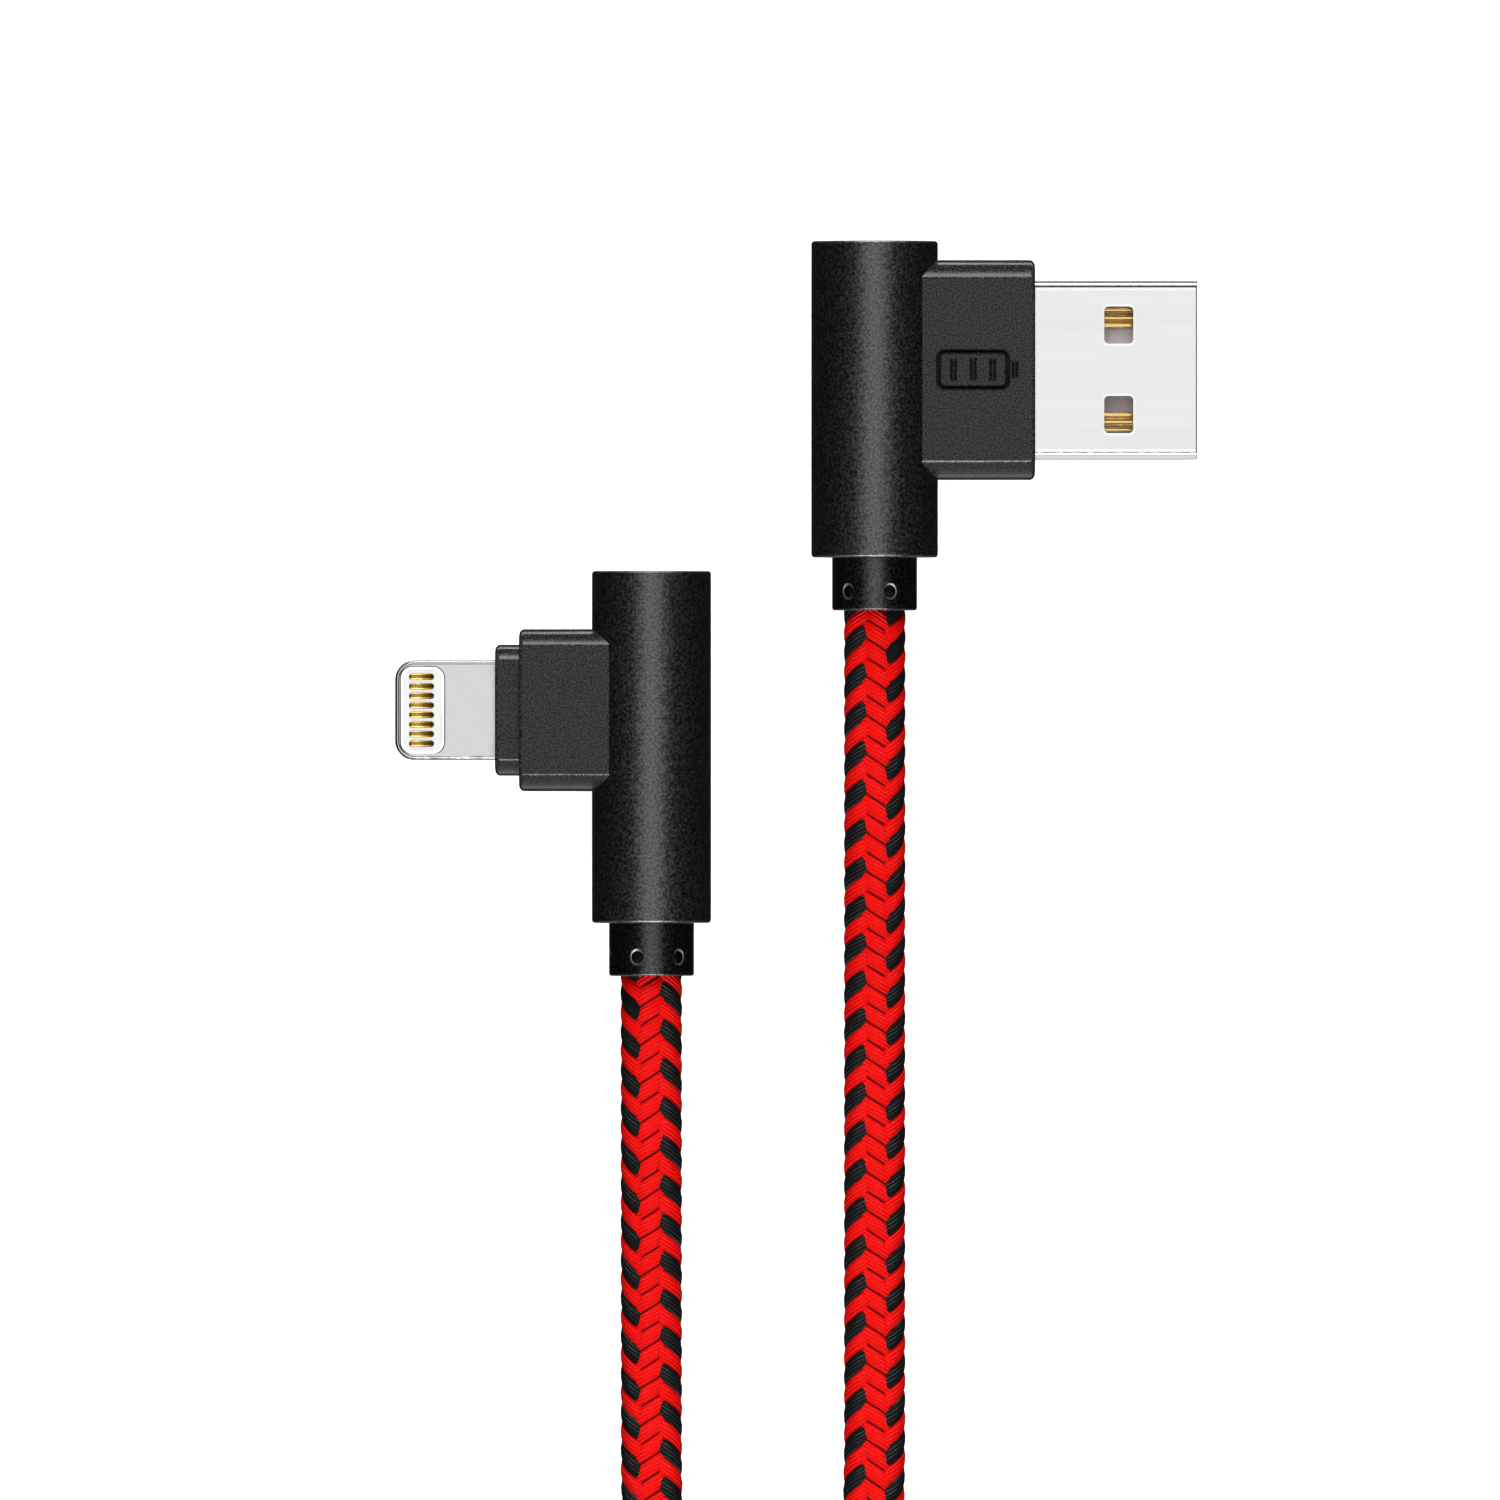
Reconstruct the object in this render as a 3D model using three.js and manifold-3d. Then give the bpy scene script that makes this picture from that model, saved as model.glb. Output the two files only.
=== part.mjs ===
// Right-angle charging cable: a USB-A plug and an 8-pin phone plug on a round braided cord,
// with the spare cord wound into a coil that a hook-and-loop tie holds.
// Millimetres, +Z up. X and Y = 0 is the middle of the two plugs, and Z = 0 is the surface they lie on.

import * as THREE from 'three';
import { mergeVertices } from 'three/addons/utils/BufferGeometryUtils.js';
import Module from 'manifold-3d';

const wasm = await Module();
wasm.setup();

// ---------------------------------------------------------------- driving dimensions

const FIT = 0.2;            // clearance round a straight fitted piece
const GAP = 0.3;            // clearance where a piece is cut by a round neighbour
const ROUND = 48;           // sides of a barrel
const SMALL_ROUND = 12;     // sides of a small hole

const CORD = { d: 4.1 };

const COLLAR = {
  r: 2.85, bore: 2.35, length: 3.55, inside: 2.1, flangeR: 3.15, flange: 1.0,
  holes: 6, holeR: 0.43, holeY: 1.27,
};
const BARREL_WALL = { side: 0.6, top: 1.2, bottom: 1.0, bevel: 0.3 };
const FERRULE = { bore: 2.35, r: 3.1, from: 6.1, to: 8.1 };
const CORD_END = { to: 9.0 };
const WIRES = {
  r: 0.35, from: 9.1, sides: 6, steps: 8,
  // each wire's place in the cord (x, z) and its place across the nose (y)
  red: [0.9, -0.6, -3], white: [0.3, 0.6, -1], green: [-0.3, -0.6, 1], black: [-0.9, 0.6, 3],
};

// Plug frame: origin on the barrel's axis at the collar's mouth, +Y up the barrel, nose along +X.
const USB = {
  x: 5.27, y: -0.13, z: 4.25,
  barrelR: 4.25, barrelTop: 24.79, noseY: 16.13, holeTurn: -38.6,
  block: { front: 10.77, flat: 6.17, mid: 7.17, half: 7.38, t: 2.95, midZ: 1.6, lowZ: 0.3 },
  cavity: { y: 5.6, z: 1.9, to: 7.4 },
};
const SHELL = { rear: 7.77, tip: 21.64, width: 12.0, height: 4.5, sheet: 0.3, corner: 0.7 };
const SHELL_WINDOW = { x: 16.37, y: 3.0, long: 2.1, wide: 2.5 };
const TONGUE = { half: 5.5, low: -1.9, top: -0.1, tip: 21.1, stop: 9.8, stopTop: 1.85 };
const USB_CONTACT = { wide: 1.2, low: -0.05, top: 0.12, rear: 7.7, tip: 20.3, dataSetback: 1.0 };
const USB_CONTACT_PLACES = { vbus: 3.5, data_minus: 1.0, data_plus: -1.0, ground: -3.5 };
const MOULD = { rear: 4.9, front: 7.3, y: 5.4, z: 1.7 };
const BADGE = { x: 6.6, long: 5.0, high: 2.8, line: 0.34, deep: 0.25, knob: 0.5, knobHigh: 1.2 };

const PHONE = {
  x: -9.7, y: -24.66, z: 4.0,
  barrelR: 4.0, barrelTop: 27.18, noseY: 17.83, holeTurn: -20,
  block: { front: 8.89, flat: 4.36, mid: 5.24, half: 5.44, t: 2.95, midZ: 1.7, lowZ: 0.35 },
  cavity: { y: 4.1, z: 1.9, to: 7.3 },
};
const NECK = { rear: 7.5, front: 10.5, flat: 3.36, mid: 4.2, half: 4.4, t: 2.5, midZ: 1.45, lowZ: 0.4 };
const TAB = { rear: 7.2, tip: 17.21, width: 6.7, t: 1.5, corner: 1.3 };
const INSERT = { x: 15.37, long: 2.9, wide: 5.8, t: 1.1, corner: 1.0 };
const PHONE_CONTACT = { x: 15.43, long: 1.7, wide: 0.41, pitch: 0.64, low: 0.57, top: 0.73, count: 8 };
const BOARD = { rear: 4.6, front: 7.0, y: 3.6, t: 0.8 };
const CHIP = { x: 5.8, size: 1.6, t: 0.6 };
const SOLDER = 0.05;        // the chip stands this far off its board

// The coil: two layers of turns, wound clockwise seen from above.
const COIL = { x: -2.215, y: -102.57, outerR: 29.0, innerR: 16.4, layers: 2, edge: 1.6 };
const TIE = { wide: 8, strap: 0.6, inside: 13.55, outside: 31.4, room: 0.9, corner: 1.5 };

// Centre line of each lead from its collar, laid down on the surface and bent out to the coil.
const USB_LEAD = [
  [5.27, -0.43, 4.25], [5.27, -4, 4.25], [5.27, -8, 4.22], [5.27, -12, 4.0], [5.27, -16, 3.55],
  [5.27, -20, 3.0], [5.27, -24, 2.5], [5.27, -28, 2.17], [5.27, -32, 2.05], [5.27, -38, 2.05],
  [5.27, -44, 2.05], [5.27, -50, 2.05], [5.27, -56, 2.05], [5.27, -62, 2.05], [5.65, -65.88, 2.05],
  [6.77, -69.61, 2.05], [8.6, -73.05, 2.05], [11.06, -76.07, 2.05],
];
const PHONE_LEAD = [
  [-9.7, -24.96, 4.0], [-9.7, -28, 4.0], [-9.7, -32, 3.97], [-9.7, -36, 3.75], [-9.7, -40, 3.32],
  [-9.7, -44, 2.8], [-9.7, -48, 2.35], [-9.7, -52, 2.1], [-9.7, -57, 2.05], [-9.7, -62, 2.05],
  [-10.1, -66.3, 2.48], [-11.3, -70.5, 3.51], [-13.2, -74.4, 4.74], [-15.8, -77.9, 5.77],
];

// ---------------------------------------------------------------- materials

function finish(color, roughness, metalness) {
  return new THREE.MeshStandardMaterial({ color, roughness, metalness });
}

const MATERIAL = {
  barrel: finish(0x17181a, 0.45, 0.6),
  collar: finish(0x141416, 0.5, 0.4),
  block: finish(0x222326, 0.6, 0.0),
  steel: finish(0xd5d7da, 0.25, 1.0),
  gold: finish(0xd8a93c, 0.25, 1.0),
  whitePlastic: finish(0xe9e9e6, 0.5, 0.0),
  mould: finish(0x2b2b2d, 0.7, 0.0),
  copper: finish(0xb98a52, 0.35, 1.0),
  board: finish(0x1d5a34, 0.5, 0.0),
  cord: finish(0xb4120f, 0.85, 0.0),
  tie: finish(0x151515, 0.95, 0.0),
};
const WIRE_COLOUR = { red: 0xb01818, white: 0xe6e6e2, green: 0x1f7a3a, black: 0x1a1a1a };

// ---------------------------------------------------------------- shapes

// A closed mesh as a solid that can be joined and cut.
function solid(geometry) {
  const bare = geometry.clone();
  bare.deleteAttribute('normal');
  bare.deleteAttribute('uv');
  const merged = mergeVertices(bare, 1e-4);
  return new wasm.Manifold(new wasm.Mesh({
    numProp: 3,
    vertProperties: new Float32Array(merged.attributes.position.array),
    triVerts: new Uint32Array(merged.index.array),
  }));
}

function surface(body) {
  const mesh = body.getMesh();
  const geometry = new THREE.BufferGeometry();
  geometry.setAttribute('position', new THREE.BufferAttribute(mesh.vertProperties, 3));
  geometry.setIndex(new THREE.BufferAttribute(mesh.triVerts, 1));
  geometry.computeVertexNormals();
  return geometry;
}

// A box given by its lowest and highest corners.
function box(low, high) {
  const size = high.map((value, axis) => value - low[axis]);
  const middle = high.map((value, axis) => (value + low[axis]) / 2);
  return new THREE.BoxGeometry(...size).translate(...middle);
}

// A rod along Y, from one height to another.
function rod(radius, from, to, sides = ROUND) {
  return new THREE.CylinderGeometry(radius, radius, to - from, sides).translate(0, (from + to) / 2, 0);
}

// A body turned about Y. The profile's points are [radius, height].
function turned(profile, sides = ROUND) {
  return new THREE.LatheGeometry(profile.map(([r, y]) => new THREE.Vector2(r, y)), sides);
}

function roundedRectangle(width, height, corner) {
  const shape = new THREE.Shape();
  const [w, h] = [width / 2 - corner, height / 2 - corner];
  shape.absarc(w, -h, corner, -Math.PI / 2, 0);
  shape.absarc(w, h, corner, 0, Math.PI / 2);
  shape.absarc(-w, h, corner, Math.PI / 2, Math.PI);
  shape.absarc(-w, -h, corner, Math.PI, 1.5 * Math.PI);
  return shape;
}

// The outline of a block seen from its front: flat faces above and below, sides in two slopes.
function blockOutline({ flat, mid, half, t, midZ, lowZ }, extra = 0) {
  const quarter = [[half + extra, lowZ], [mid + extra, midZ], [flat + extra / 2, t + extra]];
  const right = [...quarter.map(([y, z]) => [y, -z]).reverse(), ...quarter];
  const left = right.map(([y, z]) => [-y, z]).reverse();
  return new THREE.Shape([...right, ...left].map(([y, z]) => new THREE.Vector2(y, z)));
}

// A prism along X whose outline is drawn in Y and Z.
const ALONG_X = new THREE.Matrix4().makeBasis(
  new THREE.Vector3(0, 1, 0), new THREE.Vector3(0, 0, 1), new THREE.Vector3(1, 0, 0),
);
function prismX(shape, from, to, curveSegments = 4) {
  const options = { depth: to - from, bevelEnabled: false, curveSegments };
  return new THREE.ExtrudeGeometry(shape, options).applyMatrix4(ALONG_X).translate(from, 0, 0);
}

// A plate whose outline is drawn in X and Y, between two heights.
function plate(shape, low, high, curveSegments = 4) {
  const options = { depth: high - low, bevelEnabled: false, curveSegments };
  return new THREE.ExtrudeGeometry(shape, options).translate(0, 0, low);
}

// A round tube along a list of points.
function tubeAlong(points, radius, sides, steps) {
  const section = new THREE.Shape();
  for (let i = 0; i < sides; i += 1) {
    const turn = (2 * Math.PI * i) / sides;
    section[i ? 'lineTo' : 'moveTo'](radius * Math.cos(turn), radius * Math.sin(turn));
  }
  const places = points.map((p) => new THREE.Vector3(...p));
  const extrudePath = new THREE.CatmullRomCurve3(places, false, 'centripetal');
  return new THREE.ExtrudeGeometry(section, { extrudePath, steps, bevelEnabled: false });
}

function named(name, geometry, material) {
  const mesh = new THREE.Mesh(geometry, material);
  mesh.name = name;
  return mesh;
}

// ---------------------------------------------------------------- pieces that both plugs have

function barrel({ barrelR, barrelTop, noseY }) {
  const { side, top, bottom, bevel } = BARREL_WALL;
  const [low, bore, mouth] = [COLLAR.length, barrelR - side, COLLAR.r + GAP];
  const tube = solid(turned([
    [0, barrelTop - top], [bore, barrelTop - top], [bore, low + bottom], [mouth, low + bottom],
    [mouth, low], [barrelR - bevel, low], [barrelR, low + bevel], [barrelR, barrelTop - bevel],
    [barrelR - bevel, barrelTop], [0, barrelTop],
  ]));
  const window = solid(box([0, noseY - 4.2, -1.5], [barrelR + 1, noseY + 4.2, 1.5]));
  return surface(tube.subtract(window));
}

function collar({ holeTurn }) {
  const flangeFrom = COLLAR.length + COLLAR.inside - COLLAR.flange;
  const top = COLLAR.length + COLLAR.inside;
  let body = solid(turned([
    [COLLAR.bore, 0], [COLLAR.r - 0.15, 0], [COLLAR.r, 0.15], [COLLAR.r, flangeFrom],
    [COLLAR.flangeR, flangeFrom], [COLLAR.flangeR, top], [COLLAR.bore, top], [COLLAR.bore, 0],
  ]));
  for (let i = 0; i < COLLAR.holes; i += 1) {
    const hole = rod(COLLAR.holeR, 1.5, 4, SMALL_ROUND).rotateX(Math.PI / 2);
    const turn = THREE.MathUtils.degToRad(holeTurn) + (2 * Math.PI * i) / COLLAR.holes;
    body = body.subtract(solid(hole.rotateY(turn).translate(0, COLLAR.holeY, 0)));
  }
  return surface(body);
}

function ferrule() {
  const { bore, r, from, to } = FERRULE;
  return surface(solid(turned([[bore, from], [r, from], [r, to], [bore, to], [bore, from]], 24)));
}

// The block reaches back to the barrel, and is hollow behind its front wall.
function noseBlock({ block, cavity, barrelR, noseY }) {
  const barrelRoom = rod(barrelR + GAP, -noseY - 1, noseY + 12);
  return solid(prismX(blockOutline(block), 0, block.front))
    .subtract(solid(barrelRoom))
    .subtract(solid(box([0, -cavity.y, -cavity.z], [cavity.to, cavity.y, cavity.z])));
}

// Four wires leave the cord, run up the barrel and turn out into the nose.
function wires(prefix, { noseY }, end) {
  return ['red', 'white', 'green', 'black'].map((colour) => {
    const [x, z, across] = WIRES[colour];
    const level = noseY + across;
    const route = [
      [x, WIRES.from, z], [x, (WIRES.from + level - 1.4) / 2, z], [x, level - 1.4, z],
      [x + 0.4, level - 0.4, z], [x + 1.4, level, z], [(x + 1.4 + end) / 2, level, z], [end, level, z],
    ];
    const geometry = surface(solid(tubeAlong(route, WIRES.r, WIRES.sides, WIRES.steps)));
    return named(`${prefix}_wire_${colour}`, geometry, finish(WIRE_COLOUR[colour], 0.5, 0.0));
  });
}

// ---------------------------------------------------------------- USB nose, along +X

function usbNoseBlock() {
  const entry = roundedRectangle(SHELL.width + 2 * FIT, SHELL.height + 2 * FIT, SHELL.corner + FIT);
  return surface(noseBlock(USB)
    .subtract(solid(prismX(entry, USB.cavity.to - 0.5, USB.block.front + 1)))
    .subtract(batteryMark()));
}

// A generic battery outline, sunk into the block's top face.
function batteryMark() {
  const { x, long, high, line, deep, knob, knobHigh } = BADGE;
  const outline = roundedRectangle(long, high, 0.5);
  outline.holes.push(roundedRectangle(long - 2 * line, high - 2 * line, 0.25));
  const [low, top] = [USB.block.t - deep, USB.block.t + 1];
  const knobFrom = x + long / 2;
  return solid(plate(outline, low, top).translate(x, 0, 0))
    .add(solid(box([knobFrom, -knobHigh / 2, low], [knobFrom + knob, knobHigh / 2, top])));
}

function usbShell() {
  const { width, height, sheet, corner, rear, tip } = SHELL;
  const outline = roundedRectangle(width, height, corner);
  outline.holes.push(roundedRectangle(width - 2 * sheet, height - 2 * sheet, corner - sheet));
  let shell = solid(prismX(outline, rear, tip, 3));
  const { x, y, long, wide } = SHELL_WINDOW;
  for (const side of [-1, 1]) {
    const low = [x - long / 2, side * y - wide / 2, -height];
    const high = [x + long / 2, side * y + wide / 2, height];
    shell = shell.subtract(solid(box(low, high)));
  }
  return surface(shell);
}

function usbTongue() {
  const { half, low, top, tip, stop, stopTop } = TONGUE;
  let body = solid(box([SHELL.rear, -half, low], [tip, half, top]))
    .add(solid(box([SHELL.rear, -half, low], [stop, half, stopTop])));
  const slot = USB_CONTACT.wide / 2 + 0.1;
  for (const y of Object.values(USB_CONTACT_PLACES)) {
    body = body.subtract(solid(box([SHELL.rear - 1, y - slot, top], [stop + 1, y + slot, top + 0.4])));
  }
  return surface(body);
}

function innerMould() {
  return box([MOULD.rear, -MOULD.y, -MOULD.z], [MOULD.front, MOULD.y, MOULD.z]);
}

function usbContacts() {
  const { wide, low, top, rear, tip, dataSetback } = USB_CONTACT;
  return Object.entries(USB_CONTACT_PLACES).map(([name, y]) => {
    const end = name.startsWith('data') ? tip - dataSetback : tip;
    const blade = box([rear, y - wide / 2, low], [end, y + wide / 2, top]);
    return named(`usb_contact_${name}`, blade, MATERIAL.gold);
  });
}

// ---------------------------------------------------------------- phone nose, along +X

function phoneNoseBlock() {
  const entry = prismX(blockOutline(NECK, FIT), PHONE.cavity.to - 0.2, PHONE.block.front + 1);
  return surface(noseBlock(PHONE).subtract(solid(entry)));
}

function plugNeck() {
  const [y, z] = [TAB.width / 2 + FIT, TAB.t / 2 + FIT];
  const slot = box([0, -y, -z], [NECK.front + 1, y, z]);
  return surface(solid(prismX(blockOutline(NECK), NECK.rear, NECK.front)).subtract(solid(slot)));
}

function tabFrame() {
  const { rear, tip, width, t, corner } = TAB;
  const outline = new THREE.Shape();
  outline.moveTo(rear, -width / 2);
  outline.lineTo(tip - corner, -width / 2);
  outline.absarc(tip - corner, -width / 2 + corner, corner, -Math.PI / 2, 0);
  outline.absarc(tip - corner, width / 2 - corner, corner, 0, Math.PI / 2);
  outline.lineTo(rear, width / 2);
  const window = plate(roundedRectangle(INSERT.long, INSERT.wide, INSERT.corner), -t, t, 6);
  const body = solid(plate(outline, -t / 2, t / 2, 6));
  return surface(body.subtract(solid(window.translate(INSERT.x, 0, 0))));
}

function tabInsert() {
  const { x, long, wide, corner, t } = INSERT;
  const inset = 0.1;
  const outline = roundedRectangle(long - 2 * inset, wide - 2 * inset, corner - inset);
  return surface(solid(plate(outline, -t / 2, t / 2, 6).translate(x, 0, 0)));
}

function circuitBoard() {
  return box([BOARD.rear, -BOARD.y, -BOARD.t / 2], [BOARD.front, BOARD.y, BOARD.t / 2]);
}

function chargeChip() {
  const [half, low] = [CHIP.size / 2, BOARD.t / 2 + SOLDER];
  return box([CHIP.x - half, -half, low], [CHIP.x + half, half, low + CHIP.t]);
}

function phoneContacts() {
  const { x, long, wide, pitch, low, top, count } = PHONE_CONTACT;
  const meshes = [];
  for (const [face, side] of [['top', 1], ['bottom', -1]]) {
    for (let i = 0; i < count; i += 1) {
      const y = pitch * (i - (count - 1) / 2);
      const [from, to] = side > 0 ? [low, top] : [-top, -low];
      const pad = plate(roundedRectangle(long, wide, wide / 2 - 0.01), from, to, 3).translate(x, y, 0);
      meshes.push(named(`phone_contact_${face}_${i + 1}`, surface(solid(pad)), MATERIAL.gold));
    }
  }
  return meshes;
}

// ---------------------------------------------------------------- cord

function coilSolid(extra = 0) {
  const [inner, outer] = [COIL.innerR - CORD.d / 2 - extra, COIL.outerR + CORD.d / 2 + extra];
  const [low, top, edge] = [-extra, COIL.layers * CORD.d + 0.1 + extra, COIL.edge];
  const ring = turned([
    [inner + edge, low], [outer - edge, low], [outer, low + edge], [outer, top - edge], [outer - edge, top],
    [inner + edge, top], [inner, top - edge], [inner, low + edge], [inner + edge, low],
  ]);
  return solid(ring.rotateX(Math.PI / 2).translate(COIL.x, COIL.y, 0));
}

// The strap passes under, over and through the coil on the side away from the plugs.
function tieRoom(thickness) {
  const { wide, inside, outside, room, strap } = TIE;
  const [near, far] = [COIL.y - inside + thickness, COIL.y - outside - thickness];
  const top = COIL.layers * CORD.d + room + strap + thickness;
  return [[COIL.x - wide / 2, far, strap - thickness], [COIL.x + wide / 2, near, top]];
}

function coil() {
  const [low, high] = tieRoom(0);
  const notch = box([low[0] - GAP, low[1] - 1, -1], [high[0] + GAP, high[1] + 1, TIE.strap + GAP]);
  return surface(coilSolid().subtract(solid(notch)));
}

function tie() {
  const [inner, outer] = [tieRoom(0), tieRoom(TIE.strap)];
  const loop = ([low, high], corner) => roundedRectangle(high[1] - low[1], high[2] - low[2], corner);
  const outline = loop(outer, TIE.corner);
  outline.holes.push(loop(inner, TIE.corner - TIE.strap));
  const strap = prismX(outline, outer[0][0], outer[1][0]);
  const middle = [outer[0][1] + outer[1][1], outer[0][2] + outer[1][2]].map((sum) => sum / 2);
  return surface(solid(strap.translate(0, ...middle)));
}

function lead(points, steps) {
  const tube = solid(tubeAlong(points, CORD.d / 2, 10, steps));
  return surface(tube.subtract(coilSolid(GAP)));
}

// ---------------------------------------------------------------- assembly

function plug(prefix, spec, noseParts, wireEnd, turn) {
  const group = new THREE.Group();
  group.position.set(spec.x, spec.y, spec.z);
  const nose = new THREE.Group();
  nose.position.y = spec.noseY;
  nose.add(...noseParts);
  const shared = new THREE.Group();
  shared.add(
    named(`${prefix}_barrel`, barrel(spec), MATERIAL.barrel),
    named(`${prefix}_collar`, collar(spec), MATERIAL.collar),
    named(`${prefix}_braid_ferrule`, ferrule(), MATERIAL.copper),
    named(`${prefix}_cord_end`, rod(CORD.d / 2, 0, CORD_END.to, 16), MATERIAL.cord),
    ...wires(prefix, spec, wireEnd),
  );
  const turnable = new THREE.Group();
  turnable.rotation.y = turn;
  turnable.add(shared, nose);
  group.add(turnable);
  return group;
}

const usbNose = [
  named('usb_nose_block', usbNoseBlock(), MATERIAL.block),
  named('usb_shell', usbShell(), MATERIAL.steel),
  named('usb_tongue', usbTongue(), MATERIAL.whitePlastic),
  named('usb_inner_mould', innerMould(), MATERIAL.mould),
  ...usbContacts(),
];

const phoneNose = [
  named('phone_nose_block', phoneNoseBlock(), MATERIAL.block),
  named('phone_plug_neck', plugNeck(), MATERIAL.block),
  named('phone_tab_frame', tabFrame(), MATERIAL.steel),
  named('phone_tab_insert', tabInsert(), MATERIAL.whitePlastic),
  named('phone_circuit_board', circuitBoard(), MATERIAL.board),
  named('phone_charge_chip', chargeChip(), MATERIAL.mould),
  ...phoneContacts(),
];

const cable = new THREE.Group();
cable.add(
  plug('usb', USB, usbNose, MOULD.rear - 0.1, 0),
  plug('phone', PHONE, phoneNose, BOARD.rear - 0.1, Math.PI),
  named('cord_usb_lead', lead(USB_LEAD, 18), MATERIAL.cord),
  named('cord_phone_lead', lead(PHONE_LEAD, 14), MATERIAL.cord),
  named('cord_coil', coil(), MATERIAL.cord),
  named('cable_tie', tie(), MATERIAL.tie),
);

export default cable;
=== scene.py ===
"""Right-angle charging cable: the looks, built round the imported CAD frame.

Lengths in this script are millimetres, and MM turns them into Blender's metres. The cord's route is in
metres. +X runs along the USB shell, +Y along both barrels, and +Z up from the table.
"""
import math

import bmesh
import bpy
import numpy as np
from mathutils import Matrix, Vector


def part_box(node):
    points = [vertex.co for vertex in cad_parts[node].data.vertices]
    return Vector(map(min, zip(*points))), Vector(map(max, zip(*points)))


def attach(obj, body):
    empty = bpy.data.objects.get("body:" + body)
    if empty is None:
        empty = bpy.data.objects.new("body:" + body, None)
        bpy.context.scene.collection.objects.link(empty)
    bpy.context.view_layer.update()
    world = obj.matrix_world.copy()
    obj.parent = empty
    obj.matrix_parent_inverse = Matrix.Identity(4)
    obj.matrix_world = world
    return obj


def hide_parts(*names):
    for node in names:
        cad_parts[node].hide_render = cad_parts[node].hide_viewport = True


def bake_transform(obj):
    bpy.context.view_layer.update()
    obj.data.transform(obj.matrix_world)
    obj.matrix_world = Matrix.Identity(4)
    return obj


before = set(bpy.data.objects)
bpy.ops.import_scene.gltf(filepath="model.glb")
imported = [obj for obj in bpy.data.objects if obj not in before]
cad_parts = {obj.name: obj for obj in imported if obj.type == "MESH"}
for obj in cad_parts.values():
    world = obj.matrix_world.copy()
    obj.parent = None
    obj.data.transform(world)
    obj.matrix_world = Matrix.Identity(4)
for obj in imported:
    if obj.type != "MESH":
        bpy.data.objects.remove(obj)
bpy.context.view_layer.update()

MM = 0.001

# ---------------------------------------------------------------- sizes

ROUND = 144                  # sides of a barrel
FIT = 0.04                   # between a piece and the hole that it fits

BARREL = {"side": 0.6, "top": 1.2, "bottom": 1.0, "rim": 0.22, "window": (4.2, 1.5)}
COLLAR = {"r": 2.85, "bore": 2.35, "length": 3.55, "flange_r": 3.15, "flange": 1.0, "rim": 0.18,
          "hole_r": 0.42, "hole_y": 1.27, "sink": 0.14, "holes": 6}
RELIEF_CORE = {"from": 0.7, "r": 2.31, "shoulder": 5.6, "cord_r": 2.05, "to": 9.0}

# A nose block seen from its front. flat, mid and half are half widths: of the flat face, of the side's ridge
# and of the widest line. t, mid_z and low_z are their heights. The facet above the ridge bulges outwards.
USB_BLOCK = {"flat": 6.17, "mid": 7.1, "half": 7.38, "t": 2.95, "mid_z": 1.7, "low_z": 0.3, "bulge": 0.1}
PHONE_BLOCK = {"flat": 4.36, "mid": 5.17, "half": 5.44, "t": 2.95, "mid_z": 1.8, "low_z": 0.35, "bulge": 0.09}
NECK = {"flat": 3.36, "mid": 4.13, "half": 4.4, "t": 2.5, "mid_z": 1.55, "low_z": 0.4, "bulge": 0.07}
BROW = {"in": 0.08, "out": 0.05, "drop": 0.07}      # the bevel where the flat face meets the facet
RIDGE = {"y": 0.12, "z": 0.37}                      # the bevel below the ridge
BLOCK_EDGE = {"front": 0.35, "side": 0.45, "flat": 0.1, "rear": 0.1, "sharp_deg": 20}

SHELL = {"sheet": 0.3, "corner": 0.7, "lip": 0.1}
SHELL_WINDOW = {"from_tip": 5.27, "y": 3.0, "long": 1.95, "wide": 2.5, "corner": 0.3,
                "bevel": 0.15, "bevel_z": 0.014}
TONGUE = {"low": -1.9, "top": -0.1, "edge": 0.12, "stop": 2.0, "stop_top": 1.85}
TAB = {"corner": 1.3, "rim": 0.2, "edge": 0.28, "edge_z": 0.03}
INSERT = {"long": 2.9, "wide": 5.8, "corner": 0.75, "edge": 0.06, "bevel": 0.08, "gap": 0.07, "proud": 0.12,
          "plastic_corner": 0.65}
BADGE = {"x": 6.6, "long": 5.0, "high": 2.8, "corner": 0.6, "line": 0.38, "deep": 0.42, "pit_floor": 0.06,
         "knob": 0.5, "knob_high": 1.2, "knob_gap": 0.06, "bars": 3, "bar": 0.5, "bar_high": 1.54,
         "bars_less": 0.3}

# How bright each part of the studio is, and the power of its two lamps.
SKY = {"overhead": 1.0, "far_band": 13.0, "far_low": 3.5, "table": 0.85, "corners": 0.2, "horizon": 0.015,
       "near_watts": 4.6, "far_watts": 4.2}

TIE = {"thick": 0.6, "corner": 1.2, "start": 9.0, "ramp": 3.0, "tail": 7.0, "gap": 0.03}

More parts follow.
